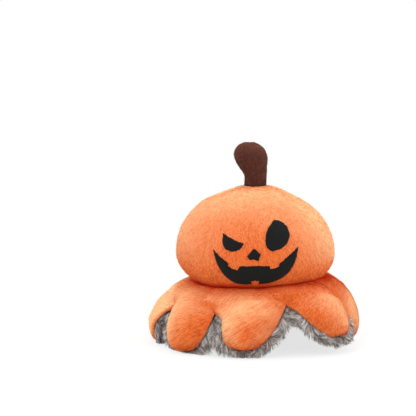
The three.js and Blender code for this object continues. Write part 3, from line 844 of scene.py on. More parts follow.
def make_pile_tree():
    """Ribbons that taper from root to tip, combed along the skin and drawn into tufts."""
    tree = bpy.data.node_groups.new("standing_pile", "GeometryNodeTree")
    kinds = {"Skin": "Geometry", **{name: "Float" for name in PILE_SIZES}}
    kinds.update({"Steps": "Int", "Seed": "Int", "Strand": "Material"})
    for name, kind in kinds.items():
        tree.interface.new_socket(name, in_out="INPUT", socket_type=f"NodeSocket{kind}")
    tree.interface.new_socket("Pile", in_out="OUTPUT", socket_type="NodeSocketGeometry")
    nodes = Nodes(tree)
    given = nodes.add("NodeGroupInput").outputs
    place = nodes.add("GeometryNodeInputPosition").outputs["Position"]
    middle = (0.5, 0.5, 0.5)

    spread = nodes.add("GeometryNodeDistributePointsOnFaces", {
        "Mesh": given["Skin"],
        "Density": nodes.times(given["Density"], nodes.named("cover")),
        "Seed": given["Seed"],
    }, distribute_method="RANDOM").outputs
    points, normal = spread["Points"], spread["Normal"]

    # Lean: along the comb, and into the nearest tuft
    combed = nodes.scaled(nodes.named("comb", "FLOAT_VECTOR"), given["Comb"])
    swirl = nodes.noise(place, given["Tuft Scale"], result="Color")
    tuft = nodes.scaled(nodes.vectors("SUBTRACT", swirl, middle), nodes.times(given["Tuft"], 2.0))
    lean = nodes.vectors("ADD", combed, tuft)
    stray = nodes.add("FunctionNodeRandomValue", {"Seed": 5}, data_type="FLOAT_VECTOR").outputs[0]
    stray = nodes.scaled(nodes.vectors("SUBTRACT", stray, middle), given["Stray"])
    upright = nodes.vectors("ADD", normal, stray)
    direction = nodes.vectors("ADD", upright, nodes.scaled(lean, LEAN))
    points = nodes.store(points, "lean", lean, "FLOAT_VECTOR")
    points = nodes.store(points, "root_normal", normal, "FLOAT_VECTOR")

    # Tone: darker in the partings, which run in even ribs or wander, and a little uneven
    streak = nodes.named("streak", "FLOAT_VECTOR")
    cloud = nodes.minus(nodes.noise(streak, 1.0, 1.0), 0.5)
    phase = nodes.plus(nodes.times(nodes.split(streak)["X"], math.pi), nodes.times(cloud, RIB_WANDER))
    ribs = nodes.times(nodes.maths("SINE", phase), RIB_DEPTH)
    cloud = nodes.times(cloud, nodes.minus(1.0, given["Ribs"]))
    off_parting = nodes.maths("ABSOLUTE", nodes.plus(cloud, nodes.times(ribs, given["Ribs"])))
    brushed = nodes.map_range(off_parting, 0.0, given["Parting"])
    chance = nodes.times(nodes.random(0.0, 1.0, 11), CHANCE_TONE)
    tone = nodes.plus(nodes.times(brushed, BRUSHED_TONE), chance)
    points = nodes.store(points, "tone", tone)
    points = nodes.store(points, "size", nodes.random(given["Shortest"], LONGEST, 23))

    # One ribbon, standing on the origin
    ribbon = nodes.add("GeometryNodeMeshGrid", {
        "Size X": 1.0, "Size Y": 1.0, "Vertices X": 2, "Vertices Y": nodes.plus(given["Steps"], 1.0),
    })
    corner = nodes.split(place)
    up = nodes.plus(corner["Y"], 0.5)
    narrow = nodes.minus(1.0, nodes.times(nodes.maths("POWER", up, NARROW_POWER), NARROWING))
    across = nodes.times(nodes.times(corner["X"], narrow), given["Width"])
    stood = nodes.add("ShaderNodeCombineXYZ", {"X": across, "Z": nodes.times(up, given["Length"])})
    marked = nodes.store(ribbon.outputs["Mesh"], "along", up)
    shaped = nodes.moved(marked, "Position", stood.outputs[0])

    # The ribbon on every point, its flat side out, turned a little by chance
    aim = nodes.add("FunctionNodeAlignRotationToVector", {"Vector": direction}, axis="Z").outputs[0]
    flat = nodes.add(
        "FunctionNodeAlignRotationToVector", {"Rotation": aim, "Vector": normal}, axis="Y", pivot_axis="Z"
    ).outputs[0]
    inputs = {"Axis": (0, 0, 1), "Angle": nodes.random(-SPIN, SPIN, 31)}
    spin = nodes.add("FunctionNodeAxisAngleToRotation", inputs).outputs[0]
    inputs = {"Rotation": flat, "Rotate By": spin}
    turn = nodes.add("FunctionNodeRotateRotation", inputs, rotation_space="LOCAL").outputs[0]
    inputs = {"Points": points, "Instance": shaped, "Rotation": turn, "Scale": nodes.named("size")}
    planted = nodes.add("GeometryNodeInstanceOnPoints", inputs).outputs[0]
    single = nodes.add("GeometryNodeRealizeInstances", {"Geometry": planted}).outputs[0]

    # Bend towards the lean, more at the tip, and stay over the floor
    bend = nodes.times(nodes.maths("POWER", nodes.named("along"), 2.0), given["Length"])
    drift = nodes.scaled(nodes.scaled(nodes.named("lean", "FLOAT_VECTOR"), bend), BEND_OVER)
    bent = nodes.moved(single, "Offset", drift)
    here = nodes.split(place)
    above = nodes.maths("MAXIMUM", here["Z"], given["Floor"])
    lifted = nodes.add("ShaderNodeCombineXYZ", {"X": here["X"], "Y": here["Y"], "Z": above})
    standing = nodes.moved(bent, "Position", lifted.outputs[0])
    inputs = {"Geometry": standing, "Material": given["Strand"]}
    nodes.add("NodeGroupOutput", {"Pile": nodes.add("GeometryNodeSetMaterial", inputs).outputs[0]})
    return tree


pile_tree = make_pile_tree()


def flat_places(sheet):
    """Distance along the rows and down the columns of a sheet, from its middle column and first row."""
    over = np.linalg.norm(np.diff(sheet, axis=1, prepend=sheet[:, :1]), axis=-1).cumsum(1)
    down = np.linalg.norm(np.diff(sheet, axis=0, prepend=sheet[:1]), axis=-1).cumsum(0)
    return over - over[:, over.shape[1] // 2][:, None], down


def sheet_ways(sheet):
    """Unit vectors down the columns of a sheet, and across them towards its last column."""
    down = unit(np.gradient(sheet, axis=0))
    return down, np.cross(down, sheet_normals(sheet))


def comb_aslant(sheet, turn=0.0):
    """Combed down the columns of a sheet, turned that far towards its last column."""
    down, over = sheet_ways(sheet)
    return down * math.cos(turn) + over * math.sin(turn)


def comb_from_hem(sheet):
    """Combed away from the side and tip seams of a leg and a little down, in swirls."""
    down, over = sheet_ways(sheet)
    u = np.sin(np.linspace(-math.pi / 2, math.pi / 2, sheet.shape[1]))
    v = np.linspace(0, 1, sheet.shape[0])[:, None]
    from_sides = -u * np.abs(u) * fade(v, *FROM_SIDES)
    from_tip = between(*ALONG_LEG, fade(v, *FROM_TIP)) * (1 - u**2)
    way = unit(over * from_sides[..., None] + down * from_tip[..., None] - (0, 0, FUR_HANG))
    swirl = (FUR_SWIRL * lumps(sheet, *FUR_SWIRLS))[..., None]
    return way * np.cos(swirl) + np.cross(sheet_normals(sheet), way) * np.sin(swirl)


def nap_values(sheet, painted_light, kind, seed, turn=0.0):
    """Values that skin and pile share: the share of painted light, with painted sheen where it is high and
    painted shade where it is low, and their place among the streaks.
    """
    over, down = flat_places(sheet)
    across, along = kind["streak"]
    streak = np.stack([
        (over * math.cos(turn) - down * math.sin(turn)) / across,
        (down * math.cos(turn) + over * math.sin(turn)) / along,
        np.full(over.shape, float(seed)),
    ], -1)
    # The 'open' value is the share of painted light that the shader reads
    return {"open": painted_light, "streak": streak}


def grow_pile(name, sheet, comb, cover, kept, kind, material, seed):
    """Strands on the outer side of a sheet, brushed along the comb, where cover is more than 0."""
    skin = new_object(name + "_skin", sheet.reshape(-1, 3), sheet_faces(*sheet.shape[:2]), material)
    for key, numbers in {"comb": comb, "cover": cover, **kept}.items():
        store_values(skin.data, key, numbers.reshape(cover.size, -1).squeeze())
    grow = skin.modifiers.new("pile", "NODES")
    grow.node_group = pile_tree
    values = {**kind, "Floor": FLOOR_CLEARANCE * MM, "Seed": seed, "Strand": material}
    for key in ("Length", "Width"):
        values[key] = kind[key] * MM
    for socket in pile_tree.interface.items_tree:
        if socket.in_out == "INPUT" and socket.name in values:
            grow[socket.identifier] = values[socket.name]
    graph = bpy.context.evaluated_depsgraph_get()
    mesh = bpy.data.meshes.new_from_object(skin.evaluated_get(graph), depsgraph=graph)
    mesh.name = name
    remove_object(skin)
    pile = show(name, mesh)
    pile.visible_shadow = kind["shades"]
    return pile


# Camera, light and floor


def add_camera():
    data = bpy.data.cameras.new("camera")
    data.lens = LENS
    data.sensor_width = SENSOR
    camera = show("camera", data)
    camera.location = TARGET + DISTANCE * Vector((0, -math.cos(ELEVATION), math.sin(ELEVATION)))
    pixels = LENS / SENSOR * PICTURE
    yaw, pitch = (math.atan((pixel - PICTURE / 2) / pixels) for pixel in TARGET_PIXEL)
    camera.rotation_euler = (math.pi / 2 - ELEVATION + pitch, 0, yaw)
    bpy.context.scene.camera = camera


def add_lamps():
    for name, (place, power, size) in LAMPS.items():
        data = bpy.data.lights.new(name, "AREA")
        data.energy = power
        data.size = size
        lamp = show(name, data)
        lamp.location = place
        lamp.rotation_euler = (TARGET - Vector(place)).to_track_quat("-Z", "Y").to_euler()


def blend_shaders(nodes, share, first, second, end):
    both = nodes.add("ShaderNodeMixShader", {0: share, 1: first.outputs[0], 2: second.outputs[0]})
    nodes.fill(nodes.tree.nodes[end].inputs["Surface"], both.outputs[0])


def add_floor():
    """A wide white floor that fades into a white background, away from the toy's shadow."""
    material, nodes, shader = new_material("white_floor", 0.9, 0.0)
    place = nodes.place()
    nodes.paint(shader, nodes.noise(place, 40.0), *FLOOR_GREYS)
    away = nodes.add("ShaderNodeVectorMath", {0: place}, operation="LENGTH").outputs["Value"]
    share = nodes.times(nodes.map_range(away, *FLOOR_FADE), nodes.seen())
    white = nodes.add("ShaderNodeEmission", {"Color": WHITE, "Strength": 1.0})
    blend_shaders(nodes, share, shader, white, "Material Output")
    corners = [(x * FLOOR_HALF, y * FLOOR_HALF, 0) for x, y in ((-1, -1), (1, -1), (1, 1), (-1, 1))]
    new_object("floor", np.array(corners, float), [(0, 1, 2, 3)], material)


def add_world():
    """Even white light from all round, and a white background."""
    world = bpy.data.worlds.new("studio")
    bpy.context.scene.world = world
    world.use_nodes = True
    nodes = Nodes(world.node_tree)
    ambient = world.node_tree.nodes["Background"]
    ambient.inputs["Color"].default_value = WHITE
    ambient.inputs["Strength"].default_value = AMBIENT
    white = nodes.add("ShaderNodeBackground", {"Color": WHITE, "Strength": 1.0})
    blend_shaders(nodes, nodes.seen(), ambient, white, "World Output")


add_camera()
add_floor()
add_world()
add_lamps()
bpy.context.scene.view_settings.view_transform = "Standard"


# Faces: outlines of (x, z) in millimetres, from a start point and edges. An edge is a corner, or a curve
# with its control point first.

PUMPKIN_FACE = {
    "winking_eye": ((-25.1, 43.7), [
        (-17, 38.3, -8.7, 36), (-9.5, 30.8, -17.6, 29.5), (-26, 29.8, -25.8, 38.3),
    ]),
    "open_eye": ((16.5, 54.2), [
        (27, 53.3, 28.9, 42.8), (28.3, 33.3, 19, 30.8), (12, 28.3, 9.6, 34.8), (7.5, 46.3, 16.5, 54.2),
    ]),
    "nose": ((-0.3, 32.6), [(5.3, 27.6), (3.3, 21.9), (-0.3, 23.4), (-3.6, 22.9), (-5.8, 26.1)]),
    "mouth": ((-33.1, 30.6), [
        (-29, 24.8, -20.8, 20), (-21.3, 17.5), (-18.5, 15.3, -13.2, 14.1), (-12, 17.8), (12.4, 17.8),
        (13.2, 15.4), (17.5, 15.3, 20.1, 17.6), (20.1, 19.3), (28, 25.3, 35.8, 32.6), (35, 19.3, 27, 11),
        (19, 2.6, 3.9, 2.1), (4.3, 5.4), (-2.3, 4.6), (-2, 2.1), (-14.5, 0, -22, 7.3),
        (-31.5, 15.8, -33.1, 30.6),
    ]),
}
GREY_FACE = {
    "patch_strap_left": ((-23.6, 4), [(-32, 1), (-32.6, 4), (-22.8, 7.2)]),
    "patch_strap_right": ((-5.2, 8.2), [(17, 12), (16.4, 15), (-6.9, 11)]),
    "small_mouth": ((-7, -6), [(0, -9, 7, -6), (5, -11, 0, -11), (-5, -11, -7, -6)]),
    "tongue": ((-2.6, -11.6), [(2.6, -11.6), (3.6, -16.5, 0, -16.5), (-3.6, -16.5, -2.6, -11.6)]),
}
GREY_DISCS = {"eye_patch": (-14, 3, 9), "small_eye": (13, 3, 3)}


def outline(start, edges, over_z):
    """The outline's points, with curves in short steps."""
    points = [np.array(start, float)]
    for edge in edges:
        if len(edge) == 2:
            points.append(np.array(edge, float))
            continue
        first, control, last = points[-1], np.array(edge[:2], float), np.array(edge[2:], float)
        for t in np.linspace(0, 1, CURVE_STEPS + 1)[1:]:
            points.append((1 - t) ** 2 * first + 2 * t * (1 - t) * control + t * t * last)
    if np.linalg.norm(points[0] - points[-1]) < 0.01:
        points.pop()
    return np.array(points) + (0, over_z)


def disc(x, z, radius):
    turn = np.linspace(0, 2 * math.pi, DISC_STEPS, endpoint=False)
    return np.stack([x + radius * np.cos(turn), POCKET_CENTRE_Z + z + radius * np.sin(turn)], 1)


pumpkin_outlines = {name: outline(*shape, FACE_Z) for name, shape in PUMPKIN_FACE.items()}
grey_outlines = {name: outline(*shape, POCKET_CENTRE_Z) for name, shape in GREY_FACE.items()}
grey_outlines.update({name: disc(*shape) for name, shape in GREY_DISCS.items()})


def inside(points, ring):
    """True for each (x, z) point that lies in the ring."""
    x, z = points[..., 0], points[..., 1]
    found = np.zeros(x.shape, bool)
    for (x1, z1), (x2, z2) in zip(ring, np.roll(ring, -1, axis=0)):
        if z1 != z2:
            crosses = (z1 > z) != (z2 > z)
            found ^= crosses & (x < (x2 - x1) * (z - z1) / (z2 - z1) + x1)
    return found


def edge_distance(points, ring):
    """Distance from each (x, z) point to the ring."""
    nearest = np.full(points.shape[:-1], 1e9)
    for a, b in zip(ring, np.roll(ring, -1, axis=0)):
        along = np.clip(((points - a) @ (b - a)) / max((b - a) @ (b - a), 1e-9), 0, 1)
        nearest = np.minimum(nearest, np.linalg.norm(points - a - along[..., None] * (b - a), axis=-1))
    return nearest


def rim_of_felt(ring, seed):
    """The outline in even steps, a little ragged."""
    closed = np.concatenate([ring, ring[:1]])
    rim = []
    for a, b in zip(closed, closed[1:]):
        steps = max(1, int(round(np.linalg.norm(b - a) / FELT_STEP)))
        rim += [a + (b - a) * k / steps for k in range(steps)]
    rim = np.array(rim)
    return rim + np.random.default_rng(seed).normal(0, FELT_RAGGED, rim.shape)


def felt_net(rim):
    """Points in and on a rim, and triangles between them."""
    low, high = rim.min(0), rim.max(0)
    columns = np.arange(low[0], high[0], FELT_STEP)
    rows = np.arange(low[1], high[1], FELT_STEP * FELT_ROW)
    x, z = np.meshgrid(columns, rows)
    x[1::2] += FELT_STEP / 2
    field = np.stack([x.ravel(), z.ravel()], 1)
    field = field[inside(field, rim)]
    field = field[edge_distance(field, rim) > FELT_MARGIN * FELT_STEP]
    flat = np.concatenate([rim, field])
    border = [(k, (k + 1) % len(rim)) for k in range(len(rim))]
    made = delaunay_2d_cdt([Vector(p) for p in flat], border, [], 1, 1e-5)
    return np.array([tuple(p) for p in made[0]]), [tuple(f) for f in made[2]]


def add_felt(name, ring, sheet, origin_y, slot, height, seed):
    """Felt pressed onto a skin of the head, found along +Y from origin_y, with a soft ragged edge."""
    tree = BVHTree.FromPolygons(sheet.reshape(-1, 3).tolist(), sheet_faces(*sheet.shape[:2]))
    rim = rim_of_felt(ring, seed)
    flat, triangles = felt_net(rim)
    top, bottom = [], []
    for (x, z), depth in zip(flat, edge_distance(flat, rim)):
        place, normal, _, _ = tree.ray_cast(Vector((x, origin_y, z)), Vector((0, 1, 0)))
        if normal.y > 0:
            normal = -normal
        rise = height * (1 - math.exp(-(depth + FELT_EDGE) / FELT_ROUND))
        top.append(place + normal * (FELT_LIFT + rise))
        bottom.append(place - normal * FELT_SINK)
    points = np.array([tuple(p) for p in top + bottom])
    faces = closed_faces(triangles, len(flat))
    felt = tidy_mesh(new_object(f"{name}_felt", points, faces, felts[slot]))
    dress(felt, [name], "head")


# Plush and fur on a sheet


def add_plush(name, sheet, thickness, materials, kind, painted_light, cover, seed, turn=0.0):
    """Plush and its pile, combed down the sheet with that turn."""
    kept = nap_values(sheet, painted_light, kind, seed, turn)
    plush = cloth_shell(f"{name}_plush", sheet, thickness, materials[0], kept)
    comb = comb_aslant(sheet, turn)
    return plush, grow_pile(f"{name}_pile", sheet, comb, cover, kept, kind, materials[1], seed)


def add_fur(name, sheet, comb, kind, painted_light, cover, seed):
    """Long fur and its backing."""
    backing = cloth_shell(f"{name}_backing", sheet, FUR_SKIN, fur_skin)
    kept = nap_values(sheet, painted_light, kind, seed)
    return backing, grow_pile(f"{name}_fur", sheet, comb, cover, kept, kind, fur_strands, seed)


def half_turn(side, columns, way=1):
    """Azimuths of the front (-1) or back (1) half, from one side seam to the other."""
    middle = 0 if side < 0 else math.pi
    return np.linspace(middle + way * math.pi / 2, middle - way * math.pi / 2, columns)


def round_half(turns, rows, top_radius, neck_radius, radius, centre_z, rise, drop):
    """Azimuths, points and outward normals of half a squashed round, from its top to its neck."""
    top, neck = math.acos(top_radius / radius), -math.acos(neck_radius / radius)
    latitude, azimuth = np.meshgrid(np.linspace(top, neck, rows), turns, indexing="ij")
    height = np.where(latitude > 0, rise, drop)
    x, y = np.cos(latitude), np.sin(latitude)
    normal = unit(np.stack([x / radius, y / height], -1))
    out = np.stack([np.sin(azimuth), -np.cos(azimuth), np.zeros_like(azimuth)], -1)
    up = np.array([0, 0, 1.0])
    points = out * (radius * x)[..., None] + up * (centre_z + height * y)[..., None]
    return azimuth, points, out * normal[..., :1] + up * normal[..., 1:]


# Head


def head_sheet(side):
    """The front or back half of the head's skin, from the stem to the neck."""
    rows, columns = HEAD_FACETS
    azimuth, points, normal = round_half(
        half_turn(side, columns), rows, STEM_HOLE_RADIUS, HEAD_NECK_RADIUS,
        HEAD_RADIUS, HEAD_CENTRE_Z, HEAD_RISE, HEAD_DROP,
    )
    x, y, z = np.moveaxis(points, -1, 0)
    soft = uneven(points, *HEAD_LUMPS)
    soft -= SEAM_DEPTH * bell(y, SEAM_WIDTH)
    dart = DART_DEPTH * bell(x - DART_X, DART_WIDTH) * (y < 0)
    soft -= dart * fade(z, DART_ENDS[0], DART_FADE) * fade(z, DART_ENDS[1], -DART_FADE)
    for dent, depth in DENTS:
        soft -= depth * np.exp(-(((points - dent) / DENT_SIZE) ** 2).sum(-1))
    wander = GATHER_WANDER * np.sin(azimuth * 3 + 0.7)
    gather = np.sin(azimuth * GATHERS + wander) * np.sin(azimuth * GATHER_GROUPS + 1)
    soft += GATHER_HEIGHT * gather * fade(z, GATHER_TOP, -GATHER_FADE)
    soft += (LOW_TILT * np.sin(azimuth) - LOW_DRAW) * (1 - fade(z, *LOW_END))
    return points + normal * soft[..., None]


def add_head():
    for name, side in SIDES.items():
        sheet = plush_sheets[f"head_{name}"]
        x, _, z = np.moveaxis(sheet, -1, 0)
        # Painted light: painted shade under the head, painted sheen upwards and more of it to the right
        painted_light = fade(z, *HEAD_LIGHT_RISE) * (1 + RIGHT_SHEEN_ADDED * fade(x, *RIGHT_SHEEN_RISE))
        cover = (z > HEAD_PILE_START).astype(float)
        if side < 0:
            flat = sheet[..., [0, 2]]
            tips = flat - (0, HEAD_PILE["Length"])
            for ring in pumpkin_outlines.values():
                cover[inside(flat, ring) | inside(tips, ring)] = 0
                near = np.minimum(edge_distance(flat, ring), edge_distance(tips, ring))
                cover[near < FELT_CLEARANCE] = 0
        for piece in add_plush(
            f"head_{name}", sheet, PLUSH, (orange_plush, orange_pile), HEAD_PILE,
            painted_light, cover, HEAD_SEED + side,
        ):
            dress(piece, [f"head_{name}_panel"], "head")
    for seed, (name, ring) in enumerate(pumpkin_outlines.items()):
        skin = plush_sheets["head_front"]
        add_felt(name, ring, skin, FACE_SEARCH_Y, "black_felt", PUMPKIN_FELT, seed)


# Pocket with the grey face


def pocket_sheet(side):
    """The front or back half of the pocket's fur backing, facing the room inside it."""
    rows, columns = POCKET_FACETS
    _, points, normal = round_half(
        half_turn(side, columns, -1), rows, POCKET_TOP_RADIUS, POCKET_NECK_RADIUS,
        POCKET_RADIUS, POCKET_CENTRE_Z, POCKET_RISE, POCKET_DROP,
    )
    return points - normal * (POCKET_LINING + uneven(points, POCKET_LUMPS))[..., None]


def add_pocket():
    for name, side in SIDES.items():
        sheet = pocket_sheet(side)
        cover = np.ones(sheet.shape[:2])
        if side > 0:
            for ring in grey_outlines.values():
                cover[inside(sheet[..., [0, 2]], ring)] = 0
        comb = comb_aslant(sheet)
        for piece in add_fur(f"pocket_{name}", sheet, comb, POCKET_FUR, cover, cover, POCKET_SEED + side):
            dress(piece, [f"pocket_{name}_panel"], "head")
    for seed, (name, ring) in enumerate(grey_outlines.items()):
        slot = "pink_felt" if name == "tongue" else "black_felt"
        add_felt(name, ring, sheet, 0, slot, GREY_FELT, GREY_FELT_SEED + seed)


# Stem


def stem_sheet(side):
    """The front or back half of the stem's skin, from its crown to its root."""
    azimuth = half_turn(side, STEM_COLUMNS)
    lift, shift, wide, deep = np.array(STEM_RINGS).T[..., None]
    control = np.stack([
        shift + wide * np.sin(azimuth),
        -deep * np.cos(azimuth) + 0 * lift,
        STEM_PIVOT_Z + lift + 0 * azimuth,
    ], -1)
    sheet = along_spline(control, STEM_ROWS)[::-1]
    over = sheet[..., 2] - STEM_PIVOT_Z
    soft = uneven(sheet, STEM_LUMPS)
    soft -= STEM_SEAM_DEPTH * bell(sheet[..., 1], STEM_SEAM_WIDTH) * fade(over, *STEM_SEAM_START)
    pucker = np.linalg.norm(sheet - (PUCKER[0], PUCKER[1], STEM_PIVOT_Z + PUCKER[2]), axis=-1)
    soft -= PUCKER_DEPTH * bell(pucker, PUCKER_SIZE)
    soft *= fade(over, *SOFT_ROOT) * fade(over, *SOFT_CROWN)
    return sheet + sheet_normals(sheet) * soft[..., None]


def add_stem():
    for name, side in SIDES.items():
        sheet = np.concatenate([stem_sheet(side)[:CROWN_ROWS], plush_sheets[f"stem_{name}"]])
        over = sheet[..., 2] - STEM_PIVOT_Z
        cover = (over > STEM_PILE_START).astype(float)
        # Painted light: painted shade at the stem's root, painted sheen above it
        for piece in add_plush(
            f"stem_{name}", sheet, STEM_PLUSH, (brown_plush, brown_pile), STEM_PILE,
            fade(over, *STEM_LIGHT_RISE), cover, STEM_SEED + side,
        ):
            dress(piece, [f"stem_{name}_panel"], "stem")


# Skirt and legs


def tilted(azimuth, level, front, right):
    """A height that is level, but for a rise or fall to the front and to the right."""
    return level + front * np.cos(azimuth) + right * np.sin(azimuth)


def crease_height(azimuth):
    return tilted(azimuth, *CREASE)


def over_floor(z):
    """Heights that level off softly just over the floor."""
    return LOWEST + FLOOR_ROUND * np.logaddexp(0, (z - LOWEST) / FLOOR_ROUND)


def crease_radius(azimuth):
    return HEAD_RADIUS * np.sqrt(1 - ((HEAD_CENTRE_Z - crease_height(azimuth)) / HEAD_DROP) ** 2)


def under_head(azimuth, step):
    """Radius and height on the underside of the head, that far in from the crease."""
    radius = crease_radius(azimuth) - step
    return radius, HEAD_CENTRE_Z - HEAD_DROP * np.sqrt(1 - (radius / HEAD_RADIUS) ** 2) + TUCK


def past_crease(azimuth, step, drop):
    """Radius and height that far out from the crease and under it."""
    return crease_radius(azimuth) + step, crease_height(azimuth) - drop


def even_ring(azimuth, radius, height):
    return radius + 0 * azimuth, height + 0 * azimuth


class Leg:
    """One leg with its share of the skirt's ring, as rows of points from the crease or neck to the tip."""

    def __init__(self, index):
        self.name = LEGS[index]
        self.turn = index * SECTOR
        self.lean, end, self.fill, lift, self.width = LEG_SHAPES[self.name]
        self.lift = math.radians(lift)
        self.end = math.radians(end)
        self.across = np.sin(np.linspace(-math.pi / 2, math.pi / 2, LEG_COLUMNS))
        self.left = self.across < 0
        before, after = LEG_BORDERS[index - 1], LEG_BORDERS[index]
        self.offset = np.radians(np.where(self.left, before[0], after[0]))
        self.notch = np.radians(np.where(self.left, before[1], after[1]))
        self.hem = np.where(self.left, *HEM_RISE.get(self.name, (0, 0)))

    def placed(self, wide, radius, z):
        """Points of the toy from sideways, outward and upward distances of this leg."""
        c, s = math.cos(self.turn), math.sin(self.turn)
        return np.stack([wide * c + radius * s, wide * s - radius * c, z + 0 * wide], -1)

    def half_angle(self, twist):
        """Angle from the leg's middle to its border, turned by that share of the valleys' twist."""
        offset = self.offset + VALLEY_TWIST * twist
        return SECTOR / 2 + OVERLAP + np.where(self.left, -offset, offset)

    def ring_row(self, shape, *sizes, twist=1.0):
        """A row of the skirt's ring, whose shape gives radius and height at an azimuth."""
        turn = self.across * self.half_angle(twist)
        radius, height = shape(self.turn + turn, *sizes)
        return self.placed(radius * np.sin(turn), radius * np.cos(turn), height)

    def slopes(self):
        """(slope, turn into the round tip) of each row from the root to the tip."""
        tip = between(ROOT_SLOPE, self.end, TIP_START)
        rows = [(between(ROOT_SLOPE, tip, k / LEG_STEPS), 0.0) for k in range(LEG_STEPS)]
        for turn in np.linspace(0, math.pi / 2, LEG_STEPS):
            rows.append((between(tip, self.end, math.sin(turn)), turn))
        return rows

    def rising(self, slope):
        """How far a row has come from the root to the notches, at each of its points."""
        return fade(slope, ROOT_SLOPE, self.notch - ROOT_SLOPE)

    def leg_row(self, slope, turn, plush):
        """A row of points on the plush over the leg's seam, or on the fur under it."""
        u = self.across
        tip = max(0.0, math.cos(turn))
        if not plush:
            slope = slope + FUR_OVERHANG * math.sin(turn) ** 2 * np.sqrt(tip * (1 - u**2))
        rising = self.rising(slope)
        half = self.half_angle(ROOT_TWIST * (1 - rising))
        opened = 1 - np.exp(-np.maximum(slope - self.notch, 0) / NOTCH_OPENING)
        fallen = fade(slope, self.notch, RIM_FALL)
        hem = self.hem * tip**HEM_ROUND
        if plush:
            border = between(between(RING_HEIGHT, NOTCH_HEIGHT, rising), hem, fallen)
            height = between(border, PLUSH_PUFF * self.fill * tip**PLUSH_ROUND, (1 - u**2) ** PUFF_ROUND)
        else:
            border = between(-FUR_PUFF, NOTCH_HEIGHT - NOTCH_STEP, rising)
            border = between(border, hem - HEM_STEP, fallen)
            height = between(border, -FUR_PUFF * tip**FUR_ROUND, np.sqrt(1 - u**2))
        distance = SEAM_DISTANCE + height
        r = BEND_RADIUS + distance * np.sin(slope)
        z = BEND_Z + distance * np.cos(slope)
        rim = BEND_RADIUS + (SEAM_DISTANCE + border) * np.sin(slope)
        r = r * (1 - (1 - np.cos(half)) * (1 - OPEN_FLAT * opened) * u**2)
        lobe = self.width + LOBE_FLARE * np.maximum(0, 1 - (slope - ROOT_SLOPE) / (self.end - ROOT_SLOPE))
        wide = u * (between(rim * np.sin(half), lobe, opened) * tip**WIDTH_ROUND)
        if not plush:
            wide = wide + FUR_ROLL * opened * tip**HEM_ROUND * u * np.abs(u) * np.sqrt(1 - u**2)
        begin = between(ROOT_SLOPE, self.notch, u**2)
        free = fade(slope, begin, self.end - begin)
        wide = wide + self.lean * free
        lift = self.lift * fade(slope, begin, LIFT_BEND)
        r0, z0 = r - HINGE_RADIUS, z - HINGE_Z
        r = HINGE_RADIUS + r0 * np.cos(lift) - z0 * np.sin(lift)
        z = HINGE_Z + r0 * np.sin(lift) + z0 * np.cos(lift)
        z = z + tilted(self.turn + np.arctan2(wide, r), *ROOT_RISE) * (1 - free)
        return self.placed(wide, r, over_floor(z))

    def fold_shade_row(self, slope):
        """How much painted shade each point of a row gets, in the fold that runs up from each notch."""
        closed = fade(slope, self.notch + NOTCH_OPENING, -NOTCH_OPENING)
        return self.rising(slope) * closed * fade(np.abs(self.across), FOLD_SHADE_START, 1 - FOLD_SHADE_START)

    def plush_sheet(self):
        """The plush from under the head's edge to the tip, facing out, and the painted shade of the fold it
        lies in.
        """
        rows = [
            *(self.ring_row(under_head, step) for step in TUCKED_ROWS),
            self.ring_row(past_crease, *CREASE_ROW),
            self.ring_row(past_crease, *SKIRT_ROW, twist=SKIRT_TWIST),
        ]
        fold_shades = [self.fold_shade_row(ROOT_SLOPE)] * len(rows)
        for slope, turn in self.slopes():
            rows.append(self.leg_row(slope, turn, True))
            fold_shades.append(self.fold_shade_row(slope))
        both = np.concatenate([rows, np.array(fold_shades)[..., None]], -1)
        both = along_spline(both, LEG_ROWS)[:, ::-1]
        return both[..., :3], both[..., 3]

    def soft_sheet(self):
        """The plush with the uneven lie of its padding."""
        sheet = self.plush_sheet()[0]
        inner_columns = np.sin(np.linspace(0, math.pi, LEG_COLUMNS))
        soft = uneven(sheet, LEG_LUMPS) * smooth_step(inner_columns * 3)
        return sheet + sheet_normals(sheet) * soft[..., None]

    def fur_sheet(self):
        """The fur's backing from the neck of the pocket to the tip, facing in and down."""
        rows = [self.ring_row(even_ring, *sizes) for sizes in NECK_ROWS]
        rows += [self.leg_row(slope, turn, False) for slope, turn in self.slopes()]
        return along_spline(np.array(rows), LEG_ROWS)

    def bend(self, piece):
        """Bakes a piece's placement into its mesh."""
        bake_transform(piece)


